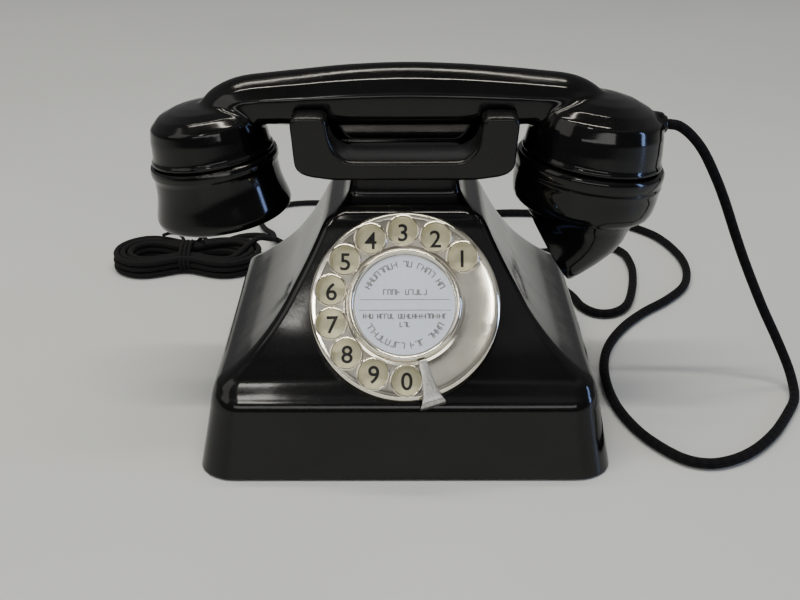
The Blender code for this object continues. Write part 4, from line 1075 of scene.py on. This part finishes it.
def make_label():
    ring = [(20.3, 0.3), (22.4, 0.3), (22.6, 0.5), (22.5, 1.2), (22.1, 1.8), (21.5, 2.05), (20.9, 1.95),
            (20.5, 1.6), (20.3, 1.2)]
    ring = lathe("label_bezel", ring, NICKEL, DIAL_FRAME, 128)
    finish_piece(ring, "dial", "nickel", "label_ring")
    card = lathe("label_face", [(0, 0.3), (19.9, 0.3), (19.9, 0.6), (0, 0.6)], CARD, DIAL_FRAME, 96)
    finish_piece(card, "dial", "card", "label_card")
    window = lathe("label_glass", [(0, 0.95), (19.9, 0.95), (20.0, 1.2), (19.9, 1.4), (10.0, 1.6),
                                   (0, 1.65)], WINDOW, DIAL_FRAME, 96)
    finish_piece(window, "dial", "clear", "label_window")
    make_label_marks()


def make_label_marks():
    """Two ruled lines and rows of small strokes in place of print; they spell nothing."""
    bm = bmesh.new()
    stroke(bm, (-17.6, 2.0), (17.6, 2.0), 0.26)
    stroke(bm, (-18.2, -2.2), (18.2, -2.2), 0.26)
    random.seed(3)
    for middle, cells, words, step in ((90.0, 19, (2, 7, 10), 7.0), (270.0, 18, (9, 13), 7.0)):
        for k in range(cells):
            if k in words:
                continue
            turn = math.radians(middle + (k - (cells - 1) / 2) * step)
            outward = Vector((math.cos(turn), math.sin(turn)))
            placeholder(bm, outward * 16.3, outward if middle < 180 else -outward, 2.5, 1.45)
    for y, height, pitch, cells, words in ((5.0, 2.2, 1.75, 10, (4,)), (-4.6, 2.0, 1.38, 24, (3, 9)),
                                           (-7.9, 2.0, 1.45, 3, ())):
        for k in range(cells):
            if k not in words:
                x = (k - (cells - 1) / 2) * pitch
                placeholder(bm, Vector((x, y)), Vector((0, 1)), height, pitch * 0.68)
    marks = add_object("label_marks", bm, INK, DIAL_FRAME)
    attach(marks, "dial")


def placeholder(bm, centre, up, height, width):
    """One meaningless mark: one or two stems and one bar."""
    side = Vector((up.y, -up.x))
    stems = random.choice(((-0.5, 0.5), (-0.5, 0.5), (-0.5,), (0.5,)))
    for place in stems:
        foot = centre + side * (place * width) - up * (height / 2)
        stroke(bm, foot, foot + up * height, 0.46)
    level = centre + up * (random.choice((-0.44, 0.0, 0.44)) * height)
    stroke(bm, level - side * (width / 2), level + side * (width / 2), 0.42)


def stroke(bm, start, end, width):
    """A thin flat printed line on the card, in the dial's plane."""
    start, end = Vector(start), Vector(end)
    along = (end - start).normalized() * (width / 2)
    across = Vector((-along.y, along.x))
    corners = (start - across, end - across, end + across, start + across)
    bm.faces.new([bm.verts.new((p.x, p.y, 0.64)) for p in corners])


def make_finger_stop():
    """A bent strip over the wheel that flares towards its foot like an axe blade."""
    spine = [(41.1, -6.6), (41.15, -2.0), (41.0, 0.4), (40.4, 1.7), (39.2, 2.3), (36.0, 2.45), (32.0, 2.5),
             (28.0, 2.5), (24.6, 2.4), (22.8, 2.25)]
    widths = [4.0, 4.1, 4.2, 4.0, 3.4, 2.5, 2.05, 1.85, 1.75, 1.5]
    left_widths = [6.4, 6.4, 6.3, 5.9, 5.0, 3.6, 2.6, 2.1, 1.8, 1.5]
    rings = []
    for i, ((r, t), right, left) in enumerate(zip(spine, widths, left_widths)):
        before, after = spine[max(i - 1, 0)], spine[min(i + 1, len(spine) - 1)]
        along = Vector((after[0] - before[0], after[1] - before[1])).normalized()
        nx, nt = -along.y, along.x
        ring = []
        for side, level in ((-1.0, -0.35), (-0.96, -0.5), (0.96, -0.5), (1.0, -0.35), (1.0, 0.35),
                            (0.92, 0.5), (-0.92, 0.5), (-1.0, 0.35)):
            ring.append((r + nx * level, side * (right if side > 0 else left), t + nt * level))
        rings.append(ring)
    place = DIAL_FRAME @ Matrix.Rotation(math.radians(-73.0), 4, "Z")
    stop = add_object("finger_stop_blade", skin(rings), STOP_STEEL, place, 32.0)
    smooth = stop.modifiers.new("smooth", "SUBSURF")
    smooth.levels = smooth.render_levels = 2
    baked(stop, 40.0)
    finish_piece(stop, "phone", "steel", "finger_stop")


# ---------------------------------------------------------------- everything else

def dress_frame():
    """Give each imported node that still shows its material."""
    slots = {row["node"]: row["material_slot"] for row in frame["record"]["subparts"]}
    for name, obj in frame["nodes"].items():
        if obj.hide_render:
            continue
        obj.data.materials.clear()
        obj.data.materials.append(CAD_LOOKS[slots[name]].material)


def main():
    set_camera()
    set_stage()
    make_cords()
    make_case()
    make_cradle()
    make_handset()
    make_receiver_cap()
    make_mouthpiece()
    make_gland()
    make_finger_wheel()
    make_number_plate()
    make_label()
    make_finger_stop()
    dress_frame()


main()
